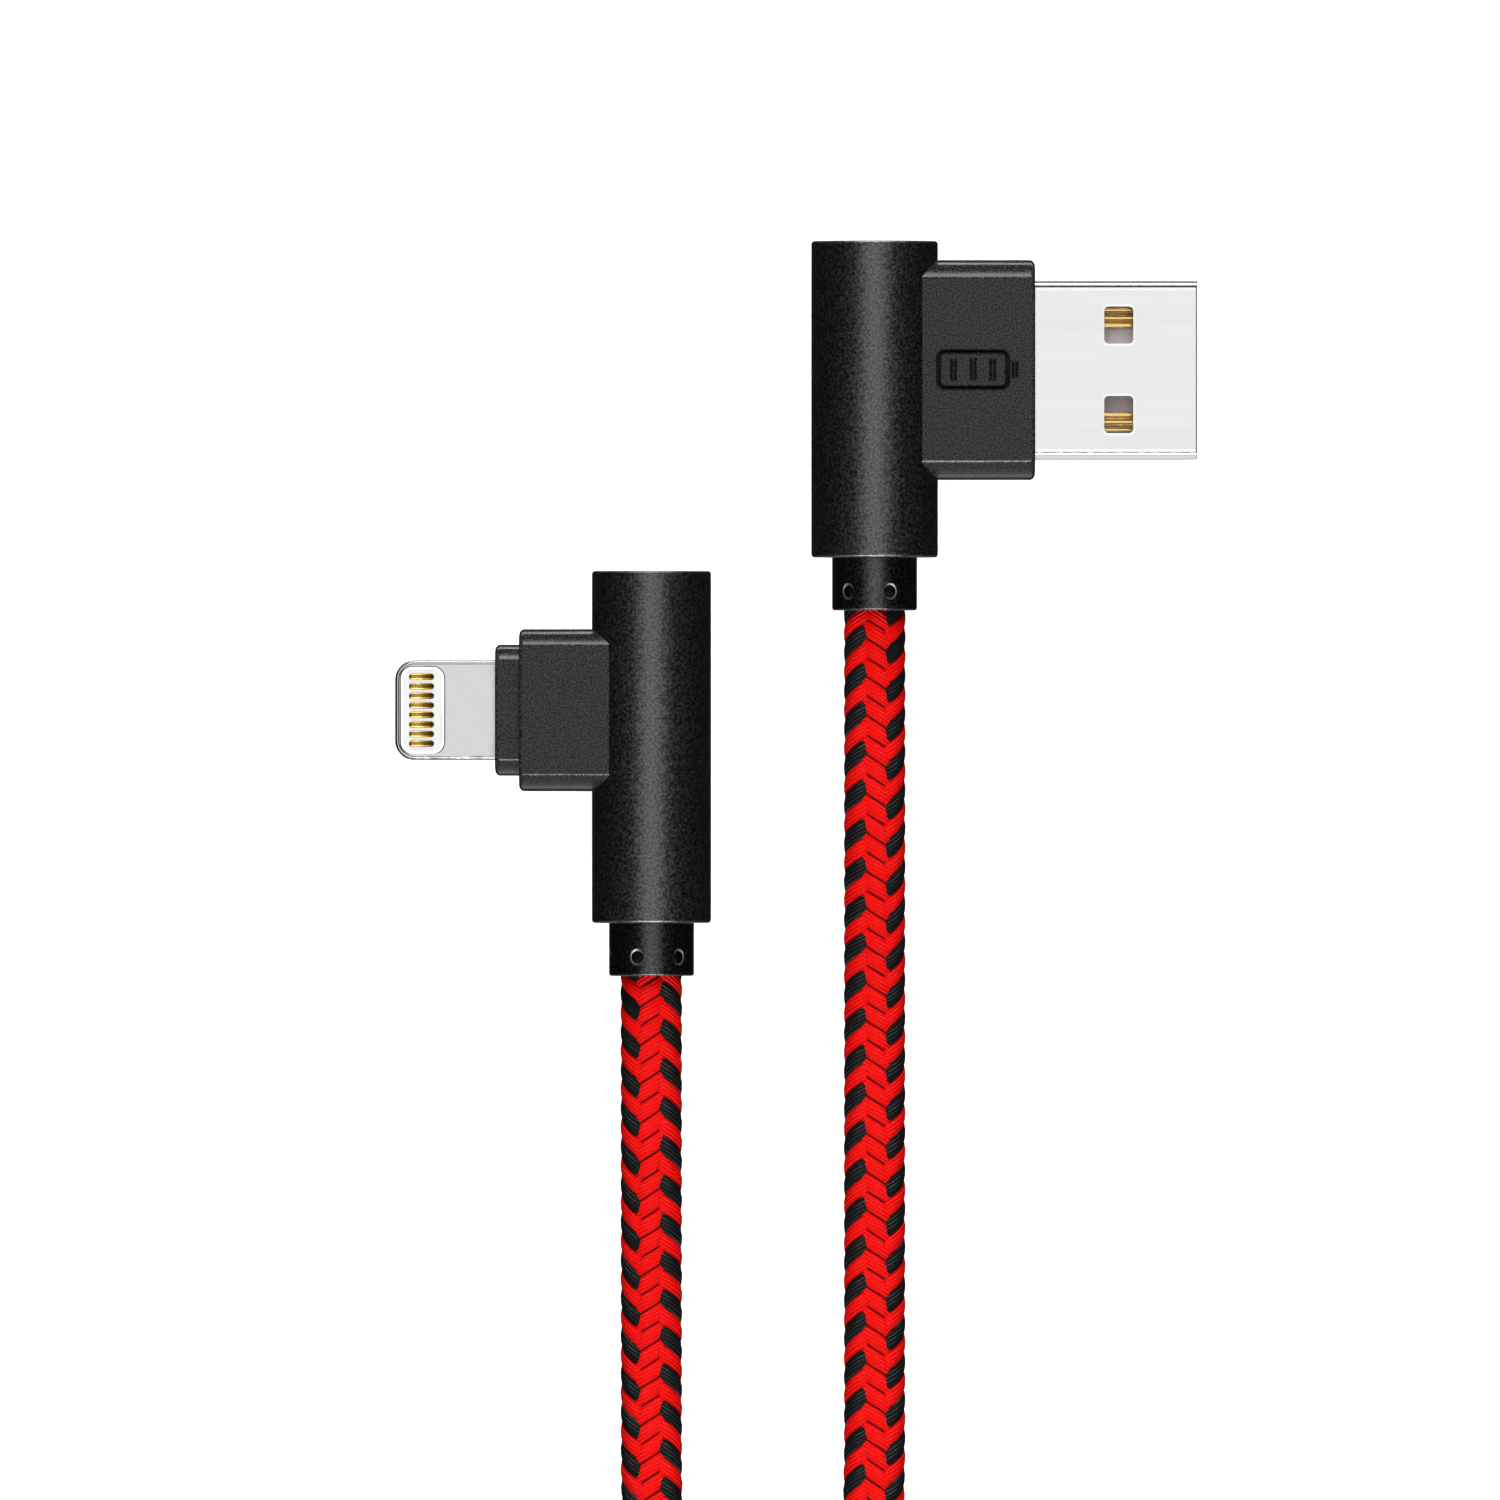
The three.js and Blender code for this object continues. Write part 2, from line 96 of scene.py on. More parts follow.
CORD_D = 0.0041
USB_LEAD = [
    (0.00527, -0.00013, 0.00425), (0.00527, -0.004, 0.00425), (0.00527, -0.008, 0.00422),
    (0.00527, -0.012, 0.004), (0.00527, -0.016, 0.00355), (0.00527, -0.02, 0.003),
    (0.00527, -0.024, 0.0025), (0.00527, -0.028, 0.00217), (0.00527, -0.032, 0.00205),
    (0.00527, -0.038, 0.00205), (0.00527, -0.044, 0.00205), (0.00527, -0.05, 0.00205),
    (0.00527, -0.056, 0.00205), (0.00527, -0.062, 0.00205), (0.00565, -0.06588, 0.00205),
    (0.00677, -0.06961, 0.00205), (0.0086, -0.07305, 0.00205), (0.01106, -0.07607, 0.00205),
]
PHONE_LEAD = [
    (-0.0097, -0.02466, 0.004), (-0.0097, -0.028, 0.004), (-0.0097, -0.032, 0.00397),
    (-0.0097, -0.036, 0.00375), (-0.0097, -0.04, 0.00332), (-0.0097, -0.044, 0.0028),
    (-0.0097, -0.048, 0.00235), (-0.0097, -0.052, 0.0021), (-0.0097, -0.057, 0.00205),
    (-0.0097, -0.062, 0.00205), (-0.0101, -0.0663, 0.00248), (-0.0113, -0.0705, 0.00351),
    (-0.0132, -0.0744, 0.00474), (-0.0158, -0.0779, 0.00577),
]
# The coil, in metres: three turns in, a climb of one diameter, and the rest out again on top.
COIL = {"x": -0.002215, "y": -0.10257, "outer": 0.029, "pitch": 0.0042, "turns_in": 3, "dwell": 60 / 360,
        "turns": 5.801, "entry_deg": 55.88, "climb_from": 3 - 40 / 360, "climb": 150 / 360}
TIE_LIFT = 0.0006            # the turns pass over the strap
TIE_LIFT_DEG = 45
POINTS_A_TURN = 24
SPLIT_TURN = 2.405           # the two halves of the braid meet under the tie

# Six yarns go each way, one turn in each lead. Each passes from the upper layer to the lower and back, swing
# on each side of mid_r, and over makes one way's columns narrower. The braid reaches inside its collar.
BRAID = {"lead": 7.7, "mid_r": 1.85, "swing": 0.11, "half_width": 0.56, "yarns": 6, "over": 0.42,
         "steep": 2.2, "inside": 0.6, "core_r": 1.5, "core_step": 1.5, "core_sides": 12}
# A yarn's section: places across it, from -1 to 1, and heights. Each side of the section has a material slot.
YARN_SECTION = [(-1.0, -0.07), (-0.84, 0.06), (-0.28, 0.13), (0.28, 0.13), (0.84, 0.06), (1.0, -0.07)]
RED, BLACK, CORE_SLOT, EDGE = range(4)
# A red yarn's two outer sides and its underside take slot EDGE, a darker red that paints the shade between
# neighbouring yarns.
YARN_SLOTS = [EDGE, RED, RED, RED, EDGE, EDGE]
FINE_STEPS = 36              # rings in one lay length of the braid near the plugs
COARSE_STEPS = 16            # and in the coil
FINE_LENGTH = 66.0           # how far the closer rings go


def corners(node):
    """A CAD node's lowest and highest corners, in millimetres."""
    low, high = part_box(node)
    return np.array(low) / MM, np.array(high) / MM


# ---------------------------------------------------------------- meshes

def piece(name, points, faces, *materials, uvs=None, slots=None):
    """A new object from points in millimetres. Each face is a list of point numbers."""
    mesh = bpy.data.meshes.new(name)
    mesh.from_pydata((np.asarray(points, float) * MM).tolist(), [], [list(map(int, f)) for f in faces])
    for material in materials:
        mesh.materials.append(material)
    if slots is not None:
        mesh.polygons.foreach_set("material_index", np.asarray(slots, np.int32))
    if uvs is not None:
        layer = mesh.uv_layers.new(name="UVMap")
        layer.data.foreach_set("uv", np.asarray(uvs, np.float32).ravel())
    obj = bpy.data.objects.new(name, mesh)
    bpy.context.scene.collection.objects.link(obj)
    return obj


def face_out(obj):
    bm = bmesh.new()
    bm.from_mesh(obj.data)
    bmesh.ops.recalc_face_normals(bm, faces=bm.faces)
    bm.to_mesh(obj.data)
    bm.free()
    return obj


def finished(obj, sharp_deg=35):
    """Smooth shading that keeps the edges sharper than sharp_deg, with the flat faces flat."""
    mesh = obj.data
    mesh.polygons.foreach_set("use_smooth", np.ones(len(mesh.polygons), bool))
    mesh.set_sharp_from_angle(angle=math.radians(sharp_deg))
    weighted = obj.modifiers.new("weighted_normals", "WEIGHTED_NORMAL")
    weighted.keep_sharp = True
    return obj


def filleted(outline, radius, steps=4):
    """A closed outline with its corners rounded. radius is one number, or one for each corner."""
    radii = np.broadcast_to(radius, len(outline))
    rounded = []
    for i, r in enumerate(radii):
        here = np.array(outline[i], float)
        to_last = np.array(outline[i - 1], float) - here
        to_next = np.array(outline[(i + 1) % len(outline)], float) - here
        if r <= 0:
            rounded.append(here)
            continue
        to_last /= np.linalg.norm(to_last)
        to_next /= np.linalg.norm(to_next)
        half = math.acos(np.clip(to_last @ to_next, -1, 1)) / 2
        middle = (to_last + to_next) / np.linalg.norm(to_last + to_next)
        centre = here + middle * r / math.sin(half)
        first = here + to_last * r / math.tan(half) - centre
        last = here + to_next * r / math.tan(half) - centre
        turn = math.atan2(first[0] * last[1] - first[1] * last[0], first @ last)
        for k in range(steps + 1):
            c, s = math.cos(turn * k / steps), math.sin(turn * k / steps)
            rounded.append(centre + [c * first[0] - s * first[1], s * first[0] + c * first[1]])
    return np.array(rounded)


def rectangle(width, height, corner, steps=6):
    """A rectangle about the origin with rounded corners."""
    w, h = width / 2, height / 2
    return filleted([(w, -h), (w, h), (-w, h), (-w, -h)], corner, steps)


def inset(outline, distance):
    """The outline moved inwards. It goes anticlockwise."""
    before = outline - np.roll(outline, 1, 0)
    after = np.roll(outline, -1, 0) - outline
    before /= np.maximum(np.linalg.norm(before, axis=1), 1e-9)[:, None]
    after /= np.maximum(np.linalg.norm(after, axis=1), 1e-9)[:, None]
    normal = np.stack([-(before + after)[:, 1], (before + after)[:, 0]], 1)
    scale = 2 / np.maximum((normal ** 2).sum(1), 0.5)
    return outline + normal * (scale * distance)[:, None]


def rim(at, depth, radius, steps=4):
    """Stations of a rounded rim: (place along, inset), from the side of the body to its end face."""
    turns = [math.pi / 2 * k / steps for k in range(steps + 1)]
    return [(at + depth * (math.sin(a) - 1) * radius, (1 - math.cos(a)) * radius) for a in turns]


def lofted(name, outline, stations, place, *materials, ring=False):
    """A body through copies of an outline: each station is (place along, inset).

    place turns u, v and along into x, y and z. A ring joins its last station to its first, and any other body
    is closed by its end faces.
    """
    layers = [(inset(outline, by), along) for along, by in stations]
    return through(name, layers, place, *materials, ring=ring)


def joined(count, n, start=0, ring=False):
    """Faces through count outlines of n points each, with end faces unless it is a ring."""
    faces = []
    for k in range(count if ring else count - 1):
        a, b = start + k * n, start + (k + 1) % count * n
        faces += [(a + i, a + (i + 1) % n, b + (i + 1) % n, b + i) for i in range(n)]
    if not ring:
        end = start + count * n
        faces += [range(start, start + n), range(end - n, end)]
    return faces


def through(name, layers, place, *materials, ring=False):
    """A body through layers of (outline, place along), which all have the same number of points."""
    n = len(layers[0][0])
    points = np.concatenate([place(*outline.T, np.full(n, along)) for outline, along in layers])
    return face_out(piece(name, points, joined(len(layers), n, ring=ring), *materials))


def turned(name, profile, axis, *materials, sides=ROUND):
    """A body turned about a line along Y through axis = (x, z).

    The profile is a closed outline of (radius, y), or runs from the axis to the axis.
    """
    solid = abs(profile[0][0]) < 1e-6
    angles = np.arange(sides) * 2 * math.pi / sides
    points, rings = [], []
    for r, y in profile:
        count = 1 if r < 1e-6 else sides
        rings.append((len(points), count))
        points += [(axis[0] + r * math.sin(a), y, axis[1] + r * math.cos(a)) for a in angles[:count]]
    faces = []
    for k in range(len(rings) - 1 if solid else len(rings)):
        (a, many_a), (b, many_b) = rings[k], rings[(k + 1) % len(rings)]
        for i in range(sides):
            j = (i + 1) % sides
            quad = [a + i % many_a, a + j % many_a, b + j % many_b, b + i % many_b]
            faces.append(list(dict.fromkeys(quad)))
    return face_out(piece(name, points, faces, *materials))


def combined(obj, *others, operation="DIFFERENCE"):
    """obj with the others taken out of it, or joined to it."""
    for other in others:
        step = obj.modifiers.new("combine", "BOOLEAN")
        step.operation, step.solver, step.object = operation, "EXACT", other
    made = obj.evaluated_get(bpy.context.evaluated_depsgraph_get())
    mesh = bpy.data.meshes.new_from_object(made)
    obj.modifiers.clear()
    obj.data = mesh
    for other in others:
        bpy.data.objects.remove(other)
    return obj


class Plug:
    """A plug's place, from its CAD nodes: the barrel's axis runs along Y, and the nose points along X."""

    def __init__(self, prefix, facing, block, hole_turn):
        low, high = corners(f"{prefix}_barrel")
        self.prefix, self.facing, self.block, self.hole_turn = prefix, facing, block, hole_turn
        self.x, self.z = (low[0] + high[0]) / 2, (low[2] + high[2]) / 2
        self.radius, self.bottom, self.top = (high[0] - low[0]) / 2, low[1], high[1]
        self.mouth = corners(f"{prefix}_collar")[0][1]
        low, high = corners(f"{prefix}_nose_block")
        self.nose_y = (low[1] + high[1]) / 2
        self.front = self.ahead(high[0] if facing > 0 else low[0])

    def ahead(self, x):
        """How far x is in front of the barrel's axis."""
        return (x - self.x) * self.facing

    def reach(self, node):
        """How far a node's back and front are in front of the barrel's axis."""
        low, high = corners(node)
        return sorted((self.ahead(low[0]), self.ahead(high[0])))

    def section(self, u, v, along):
        """An outline seen from the nose's front, at a distance from the barrel's axis."""
        return np.stack([self.x + self.facing * along, self.nose_y + u, self.z + v], 1)

    def plan(self, u, v, along):
        """An outline seen from above, at a height over the plug's middle."""
        return np.stack([self.x + self.facing * u, self.nose_y + v, self.z + along], 1)


# ---------------------------------------------------------------- materials

def math_node(nodes, links, operation, value, by):
    """The output of a Math node. by is a number or another node's output."""
    node = nodes.new("ShaderNodeMath")
    node.operation = operation
    links.new(value, node.inputs[0])
    if isinstance(by, bpy.types.NodeSocket):
        links.new(by, node.inputs[1])
    else:
        node.inputs[1].default_value = by
    return node.outputs[0]


def range_node(nodes, links, value, start, end, to_start=0.0, to_end=1.0):
    """A Map Range node from start and end to to_start and to_end."""
    node = nodes.new("ShaderNodeMapRange")
    sizes = {"From Min": start, "From Max": end, "To Min": to_start, "To Max": to_end}
    for socket, number in sizes.items():
        node.inputs[socket].default_value = number
    links.new(value, node.inputs["Value"])
    return node


def bump_node(nodes, links, height, strength, depth):
    """A Bump node for a height of depth millimetres."""
    node = nodes.new("ShaderNodeBump")
    node.inputs["Strength"].default_value = strength
    node.inputs["Distance"].default_value = depth * MM
    links.new(height, node.inputs["Height"])
    return node


def material(name, colour, rough, metal=0.0, specular=0.5, grain=0.2, bump=0.1, depth=0.01, spread=0.08,
             tint=0.0, stretch=(1, 1, 1), detail=3.0):
    """Noise of one grain size, in millimetres, roughens and dents the surface.

    It also makes the colour lighter and darker where tint is above 0.
    """
    made = bpy.data.materials.new(name)
    made.use_nodes = True
    nodes, links = made.node_tree.nodes, made.node_tree.links
    shader = nodes["Principled BSDF"]
    shader.inputs["Base Color"].default_value = (*colour, 1)
    shader.inputs["Metallic"].default_value = metal
    shader.inputs["Specular IOR Level"].default_value = specular
    place = nodes.new("ShaderNodeTexCoord")
    scale = nodes.new("ShaderNodeMapping")
    scale.inputs["Scale"].default_value = stretch
    links.new(place.outputs["Object"], scale.inputs["Vector"])
    noise = nodes.new("ShaderNodeTexNoise")
    noise.inputs["Scale"].default_value = 1 / (grain * MM)
    noise.inputs["Detail"].default_value = detail
    links.new(scale.outputs["Vector"], noise.inputs["Vector"])
    smooth, dull = max(0.02, rough - spread), rough + spread
    roughness = range_node(nodes, links, noise.outputs["Fac"], 0.3, 0.7, smooth, dull)
    links.new(roughness.outputs["Result"], shader.inputs["Roughness"])
    dents = bump_node(nodes, links, noise.outputs["Fac"], bump, depth)
    links.new(dents.outputs["Normal"], shader.inputs["Normal"])
    if tint:
        contrast = range_node(nodes, links, noise.outputs["Fac"], 0.35, 0.65)
        mix = nodes.new("ShaderNodeMix")
        mix.data_type = "RGBA"
        links.new(contrast.outputs["Result"], mix.inputs["Factor"])
        mix.inputs["A"].default_value = (*[c * (1 - tint) for c in colour], 1)
        mix.inputs["B"].default_value = (*[min(1, c * (1 + tint)) for c in colour], 1)
        links.new(mix.outputs["Result"], shader.inputs["Base Color"])
    return made


def painted_reflection_bands(made, bands):
    """Painted reflection along the contacts of the phone plug: colour bands, as (place from 0 at the tip's end
    to 1, colour), that stand in for the light and shade on the gold.
    """
    nodes, links = made.node_tree.nodes, made.node_tree.links
    low, high = corners("phone_contact_top_1")
    split = nodes.new("ShaderNodeSeparateXYZ")
    links.new(nodes["Texture Coordinate"].outputs["Object"], split.inputs["Vector"])
    along = range_node(nodes, links, split.outputs["X"], low[0] * MM, high[0] * MM)
    ramp = nodes.new("ShaderNodeValToRGB")
    stops = ramp.color_ramp.elements
    while len(stops) < len(bands):
        stops.new(0.5)
    for stop, (at, colour) in zip(stops, bands):
        stop.position = at
        stop.color = (*colour, 1)
    links.new(along.outputs["Result"], ramp.inputs["Fac"])
    links.new(ramp.outputs["Color"], nodes["Principled BSDF"].inputs["Base Color"])
    return made


def yarn(name, colour, rough, specular, filaments=5, slant=0.02, bump=0.8, depth=0.06):
    """Fine filaments run along each yarn, a little askew. The UV map's X is across the yarn."""
    made = material(name, colour, rough, specular=specular, grain=0.15, bump=0.15, depth=0.02, spread=0.1)
    nodes, links = made.node_tree.nodes, made.node_tree.links
    shader = nodes["Principled BSDF"]
    uv = nodes.new("ShaderNodeUVMap")
    uv.uv_map = "UVMap"
    split = nodes.new("ShaderNodeSeparateXYZ")
    links.new(uv.outputs["UV"], split.inputs["Vector"])
    lean = math_node(nodes, links, "MULTIPLY", split.outputs["Y"], slant)
    across = math_node(nodes, links, "ADD", split.outputs["X"], lean)
    phase = math_node(nodes, links, "MULTIPLY", across, filaments * 2 * math.pi)
    wave = math_node(nodes, links, "COSINE", phase, 0)
    lines = bump_node(nodes, links, wave, bump, depth)
    links.new(shader.inputs["Normal"].links[0].from_socket, lines.inputs["Normal"])
    links.new(lines.outputs["Normal"], shader.inputs["Normal"])
    return made


ANODISED = material("anodised_black", (0.135, 0.135, 0.14), 0.36, metal=1.0, grain=0.17, bump=0.5,
                    depth=0.02, spread=0.08, tint=0.4, detail=1.0)
COLLAR_BLACK = material("collar_black", (0.085, 0.085, 0.085), 0.3, metal=1.0, grain=0.17, bump=0.4,
                        depth=0.015, spread=0.08, tint=0.4, detail=1.0)
# A lighter metal than the collar's: painted highlight round the collar's holes.
HOLE_RIM_PAINTED_HIGHLIGHT = material("hole_rim_painted_highlight", (0.30, 0.30, 0.31), 0.5, metal=1.0, grain=0.2, bump=0.2, depth=0.01)
MOULDED = material("moulded_black", (0.017, 0.017, 0.0175), 0.21, specular=0.22, grain=0.12, bump=0.3,
                   depth=0.02, spread=0.05, tint=0.85, detail=1.0)
BRIGHT_METAL = material("bright_metal", (0.82, 0.82, 0.82), 0.1, metal=1.0, grain=0.9, bump=0.01,
                        depth=0.002, spread=0.03, tint=0.02, stretch=(0.05, 1, 1))
TAB_METAL = material("tab_metal", (0.70, 0.70, 0.70), 0.22, metal=1.0, grain=0.5, bump=0.05, depth=0.004,
                     spread=0.05, tint=0.01)
# A dark copy of the tab metal: painted shade on the tab's sides, for a dark outline round it.
TAB_SIDE_PAINTED_SHADE = material("tab_side_painted_shade", (0.22, 0.22, 0.22), 0.3, metal=1.0, grain=0.5, bump=0.05, depth=0.004)
# A brighter copy of the plug metal: the bevels catch the light by their tilt, and this adds a painted highlight
# to them.
BEVEL_PAINTED_HIGHLIGHT = material("bevel_painted_highlight", (0.99, 0.99, 0.99), 0.15, metal=1.0, grain=0.5, bump=0.02, depth=0.004)
WHITE_PLASTIC = material("white_plastic", (0.66, 0.66, 0.655), 0.38, grain=0.4, bump=0.08, depth=0.01)
TONGUE_PLASTIC = material("tongue_plastic", (0.97, 0.88, 0.90), 0.45, grain=0.4, bump=0.08, depth=0.01)
GOLD = material("gold_plate", (0.92, 0.62, 0.24), 0.16, metal=1.0, grain=0.25, bump=0.08, depth=0.006,
                spread=0.06)
# The gold pads' bands are painted reflection: brighter gold near the tip's end, darkening to near black, then a
# painted highlight at the far end.
GOLD_PAD = painted_reflection_bands(material("gold_pad", (0.60, 0.38, 0.09), 0.26, metal=1.0, grain=0.2, bump=0.1, depth=0.006),
                 [(0.0, (0.40, 0.23, 0.025)), (0.35, (0.58, 0.38, 0.10)), (0.6, (0.22, 0.11, 0.01)),
                  (0.9, (0.05, 0.02, 0.002)), (1.0, (0.4, 0.25, 0.05))])
COPPER = material("crimp_metal", (0.55, 0.34, 0.18), 0.4, metal=1.0, grain=0.3, bump=0.1, depth=0.01)
INNER_PLASTIC = material("inner_plastic", (0.02, 0.02, 0.02), 0.6, grain=0.3, bump=0.1, depth=0.02)
BOARD = material("board_green", (0.02, 0.14, 0.05), 0.4, grain=0.5, bump=0.05, depth=0.01, tint=0.2)
TIE_CLOTH = material("tie_cloth", (0.02, 0.02, 0.021), 0.9, specular=0.25, grain=0.22, bump=0.9, depth=0.12,
                     spread=0.06, tint=0.5)
WIRE_COLOURS = {"red": (0.55, 0.02, 0.02), "white": (0.8, 0.8, 0.78), "green": (0.02, 0.3, 0.08),
                "black": (0.02, 0.02, 0.02)}
WIRES = {colour: material(f"wire_{colour}", rgb, 0.4, grain=0.5, bump=0.05, depth=0.01)
         for colour, rgb in WIRE_COLOURS.items()}
RED_YARN = yarn("red_yarn", (0.80, 0.003, 0.002), 0.5, 0.10)
# A darker copy of the red yarn: painted shade along the red yarns' sides.
RED_PAINTED_SHADE = yarn("red_yarn_painted_shade", (0.24, 0.003, 0.002), 0.6, 0.05)
BLACK_YARN = yarn("black_yarn", (0.005, 0.0055, 0.006), 0.42, 0.18)
CORE = material("cord_core", (0.01, 0.002, 0.002), 0.8, grain=0.3, bump=0.2, depth=0.02)


# ---------------------------------------------------------------- camera, floor and light

def glowing(name, grey, rough, light):
    """A plain grey that also gives off white light."""
    made = bpy.data.materials.new(name)
    made.use_nodes = True
    shader = made.node_tree.nodes["Principled BSDF"]
    shader.inputs["Base Color"].default_value = (grey, grey, grey, 1)
    shader.inputs["Roughness"].default_value = rough
    shader.inputs["Emission Color"].default_value = (1, 1, 1, 1)
    shader.inputs["Emission Strength"].default_value = light
    return made


def stage():
    """The camera straight above, a pale table and a white backdrop."""
    centre, wide, away = (-3.09 * MM, -9.50 * MM), 100.67 * MM, 3.0
    data = bpy.data.cameras.new("camera")
    data.sensor_width = 36
    data.lens = 36 * away / wide
    data.clip_start, data.clip_end = 0.01, 20
    camera = bpy.data.objects.new("camera", data)
    camera.location = (*centre, away + 4.2 * MM)
    bpy.context.scene.collection.objects.link(camera)
    bpy.context.scene.camera = camera

    half, low = 900, -0.1
    square = [(-half, -half, low), (half, -half, low), (half, half, low), (-half, half, low)]
    floor = piece("floor", square, [(0, 1, 2, 3)], glowing("pale_floor", 0.9, 0.9, 0.75))
    floor.visible_glossy = False
    floor.visible_diffuse = False

    dome = bpy.data.meshes.new("backdrop")
    bm = bmesh.new()
    bmesh.ops.create_icosphere(bm, subdivisions=3, radius=6.0)
    bm.to_mesh(dome)
    bm.free()
    dome.materials.append(glowing("backdrop_white", 0, 0.5, 1))
    backdrop = bpy.data.objects.new("backdrop", dome)
    bpy.context.scene.collection.objects.link(backdrop)
    for kind in ("diffuse", "glossy", "transmission", "volume_scatter", "shadow"):
        setattr(backdrop, f"visible_{kind}", False)

    bpy.context.scene.view_settings.view_transform = "Standard"
    bpy.context.scene.view_settings.look = "None"
    studio_light()


def studio_light():
    """A dark studio with soft lights in some directions, and a strip light on each side along X.

    The overhead light is narrow along X, so that each barrel has one highlight along it. The far bands stand
    past the plugs' tops and the table in front of the cord, and show in the blocks' facets. The corners light
    the object from its diagonals, for views from the side.
    """
    world = bpy.data.worlds.new("studio")
    bpy.context.scene.world = world
    world.use_nodes = True
    nodes, links = world.node_tree.nodes, world.node_tree.links
    place = nodes.new("ShaderNodeTexCoord")
    split = nodes.new("ShaderNodeSeparateXYZ")
    links.new(place.outputs["Generated"], split.inputs["Vector"])
    across = math_node(nodes, links, "ABSOLUTE", split.outputs["X"], 0)

    def ramp(value, off, on):
        """0 at off and 1 at on, with a smooth change between."""
        (start, first), (end, last) = sorted([(off, 0), (on, 1)])
        node = range_node(nodes, links, value, start, end, first, last)
        node.interpolation_type = "SMOOTHSTEP"
        return node.outputs["Result"]

    def glow(level, *parts):
        total = parts[0]
        for part in parts[1:]:
            total = math_node(nodes, links, "MULTIPLY", total, part)
        return math_node(nodes, links, "MULTIPLY", total, level)

    y, z = split.outputs["Y"], split.outputs["Z"]
    aside = math_node(nodes, links, "ABSOLUTE", y, 0)
    narrow = ramp(across, 0.45, 0.2)
    parts = [
        glow(SKY["overhead"], ramp(across, 0.58, 0.08), ramp(z, 0.7, 0.9)),
        glow(SKY["far_band"], narrow, ramp(y, 0.8, 0.95), ramp(z, -0.15, 0.2), ramp(z, 0.38, 0.25)),
        glow(SKY["far_low"], narrow, ramp(y, 0.3, 0.55), ramp(z, -0.87, -0.8), ramp(z, -0.7, -0.76)),
        glow(SKY["table"], narrow, ramp(y, -0.2, -0.6), ramp(z, -0.95, -0.8), ramp(z, 0.4, 0.2)),
        glow(SKY["corners"], ramp(across, 0.35, 0.6), ramp(aside, 0.3, 0.55)),
    ]
    total = math_node(nodes, links, "ADD", parts[0], SKY["horizon"])
    for part in parts[1:]:
        total = math_node(nodes, links, "ADD", total, part)
    links.new(total, nodes["Background"].inputs["Strength"])
    nodes["Background"].inputs["Color"].default_value = (1, 1, 1, 1)

    strip_light("near_strip", -57, 0.08, SKY["near_watts"])
    strip_light("far_strip", 45, 0.3, SKY["far_watts"]).visible_glossy = False


def strip_light(name, lean_deg, wide, watts, away=0.7):
    """A light along X that leans away from straight above, towards +Y."""
    data = bpy.data.lights.new(name, "AREA")
    data.shape, data.size, data.size_y, data.energy = "RECTANGLE", 0.6, wide, watts
    strip = bpy.data.objects.new(name, data)
    lean = math.radians(lean_deg)
    strip.location = (0, away * math.sin(lean), away * math.cos(lean))
    strip.rotation_euler = (-lean, 0, 0)
    strip.visible_camera = False
    bpy.context.scene.collection.objects.link(strip)
    return strip


# ---------------------------------------------------------------- cord

def smoothstep(u):
    u = np.clip(u, 0, 1)
    return u * u * (3 - 2 * u)


def coil_points():
    """The coil's turns, clockwise seen from above, from the USB lead to the phone lead."""
    count = round(COIL["turns"] * POINTS_A_TURN)
    inner = COIL["outer"] - COIL["pitch"] * COIL["turns_in"]
    tie_deg, gap = -90, 0.00005
    points = []
    for k in range(count + 1):
        turn = COIL["turns"] * k / count
        out = max(0.0, turn - COIL["turns_in"] - COIL["dwell"])
        radius = max(COIL["outer"] - COIL["pitch"] * turn, inner) + COIL["pitch"] * out
        angle = COIL["entry_deg"] - 360 * turn
        from_tie = abs((angle - tie_deg + 180) % 360 - 180)
        z = CORD_D / 2 + (CORD_D + gap) * smoothstep((turn - COIL["climb_from"]) / COIL["climb"])
        z += TIE_LIFT * smoothstep(1 - from_tie / TIE_LIFT_DEG)
        points.append((COIL["x"] + radius * math.cos(math.radians(angle)),
                       COIL["y"] + radius * math.sin(math.radians(angle)), float(z)))
    return points


def smooth_line(points, step=0.00025):
    """A smooth curve through the points, as points one step apart."""
    points = np.array(points, float)
    gap = np.linalg.norm(np.diff(points, axis=0), axis=1)
    at = np.concatenate([[0], np.cumsum(gap)])
    slope = np.diff(points, axis=0) / gap[:, None]
    tangent = np.empty_like(points)
    tangent[1:-1] = (gap[1:, None] * slope[:-1] + gap[:-1, None] * slope[1:]) / (gap[1:] + gap[:-1])[:, None]
    tangent[0], tangent[-1] = slope[0], slope[-1]
    where = np.linspace(0, at[-1], int(at[-1] / step) + 1)
    i = np.clip(np.searchsorted(at, where, "right") - 1, 0, len(gap) - 1)
    t, h = ((where - at[i]) / gap[i])[:, None], gap[i][:, None]
    return (points[i] * (1 + 2 * t) * (1 - t) ** 2 + tangent[i] * h * t * (1 - t) ** 2
            + points[i + 1] * t * t * (3 - 2 * t) + tangent[i + 1] * h * t * t * (t - 1))


def carried_frames(line):
    """Tangent, up and side along the line, without twist, starting with up along +Z."""
    tangent = np.gradient(line, axis=0)
    tangent /= np.linalg.norm(tangent, axis=1)[:, None]
    up = np.empty_like(line)
    up[0] = (0, 0, 1)
    for k in range(1, len(line)):
        v = up[k - 1] - tangent[k] * (up[k - 1] @ tangent[k])
        up[k] = v / np.linalg.norm(v)
    return tangent, up, np.cross(up, tangent)


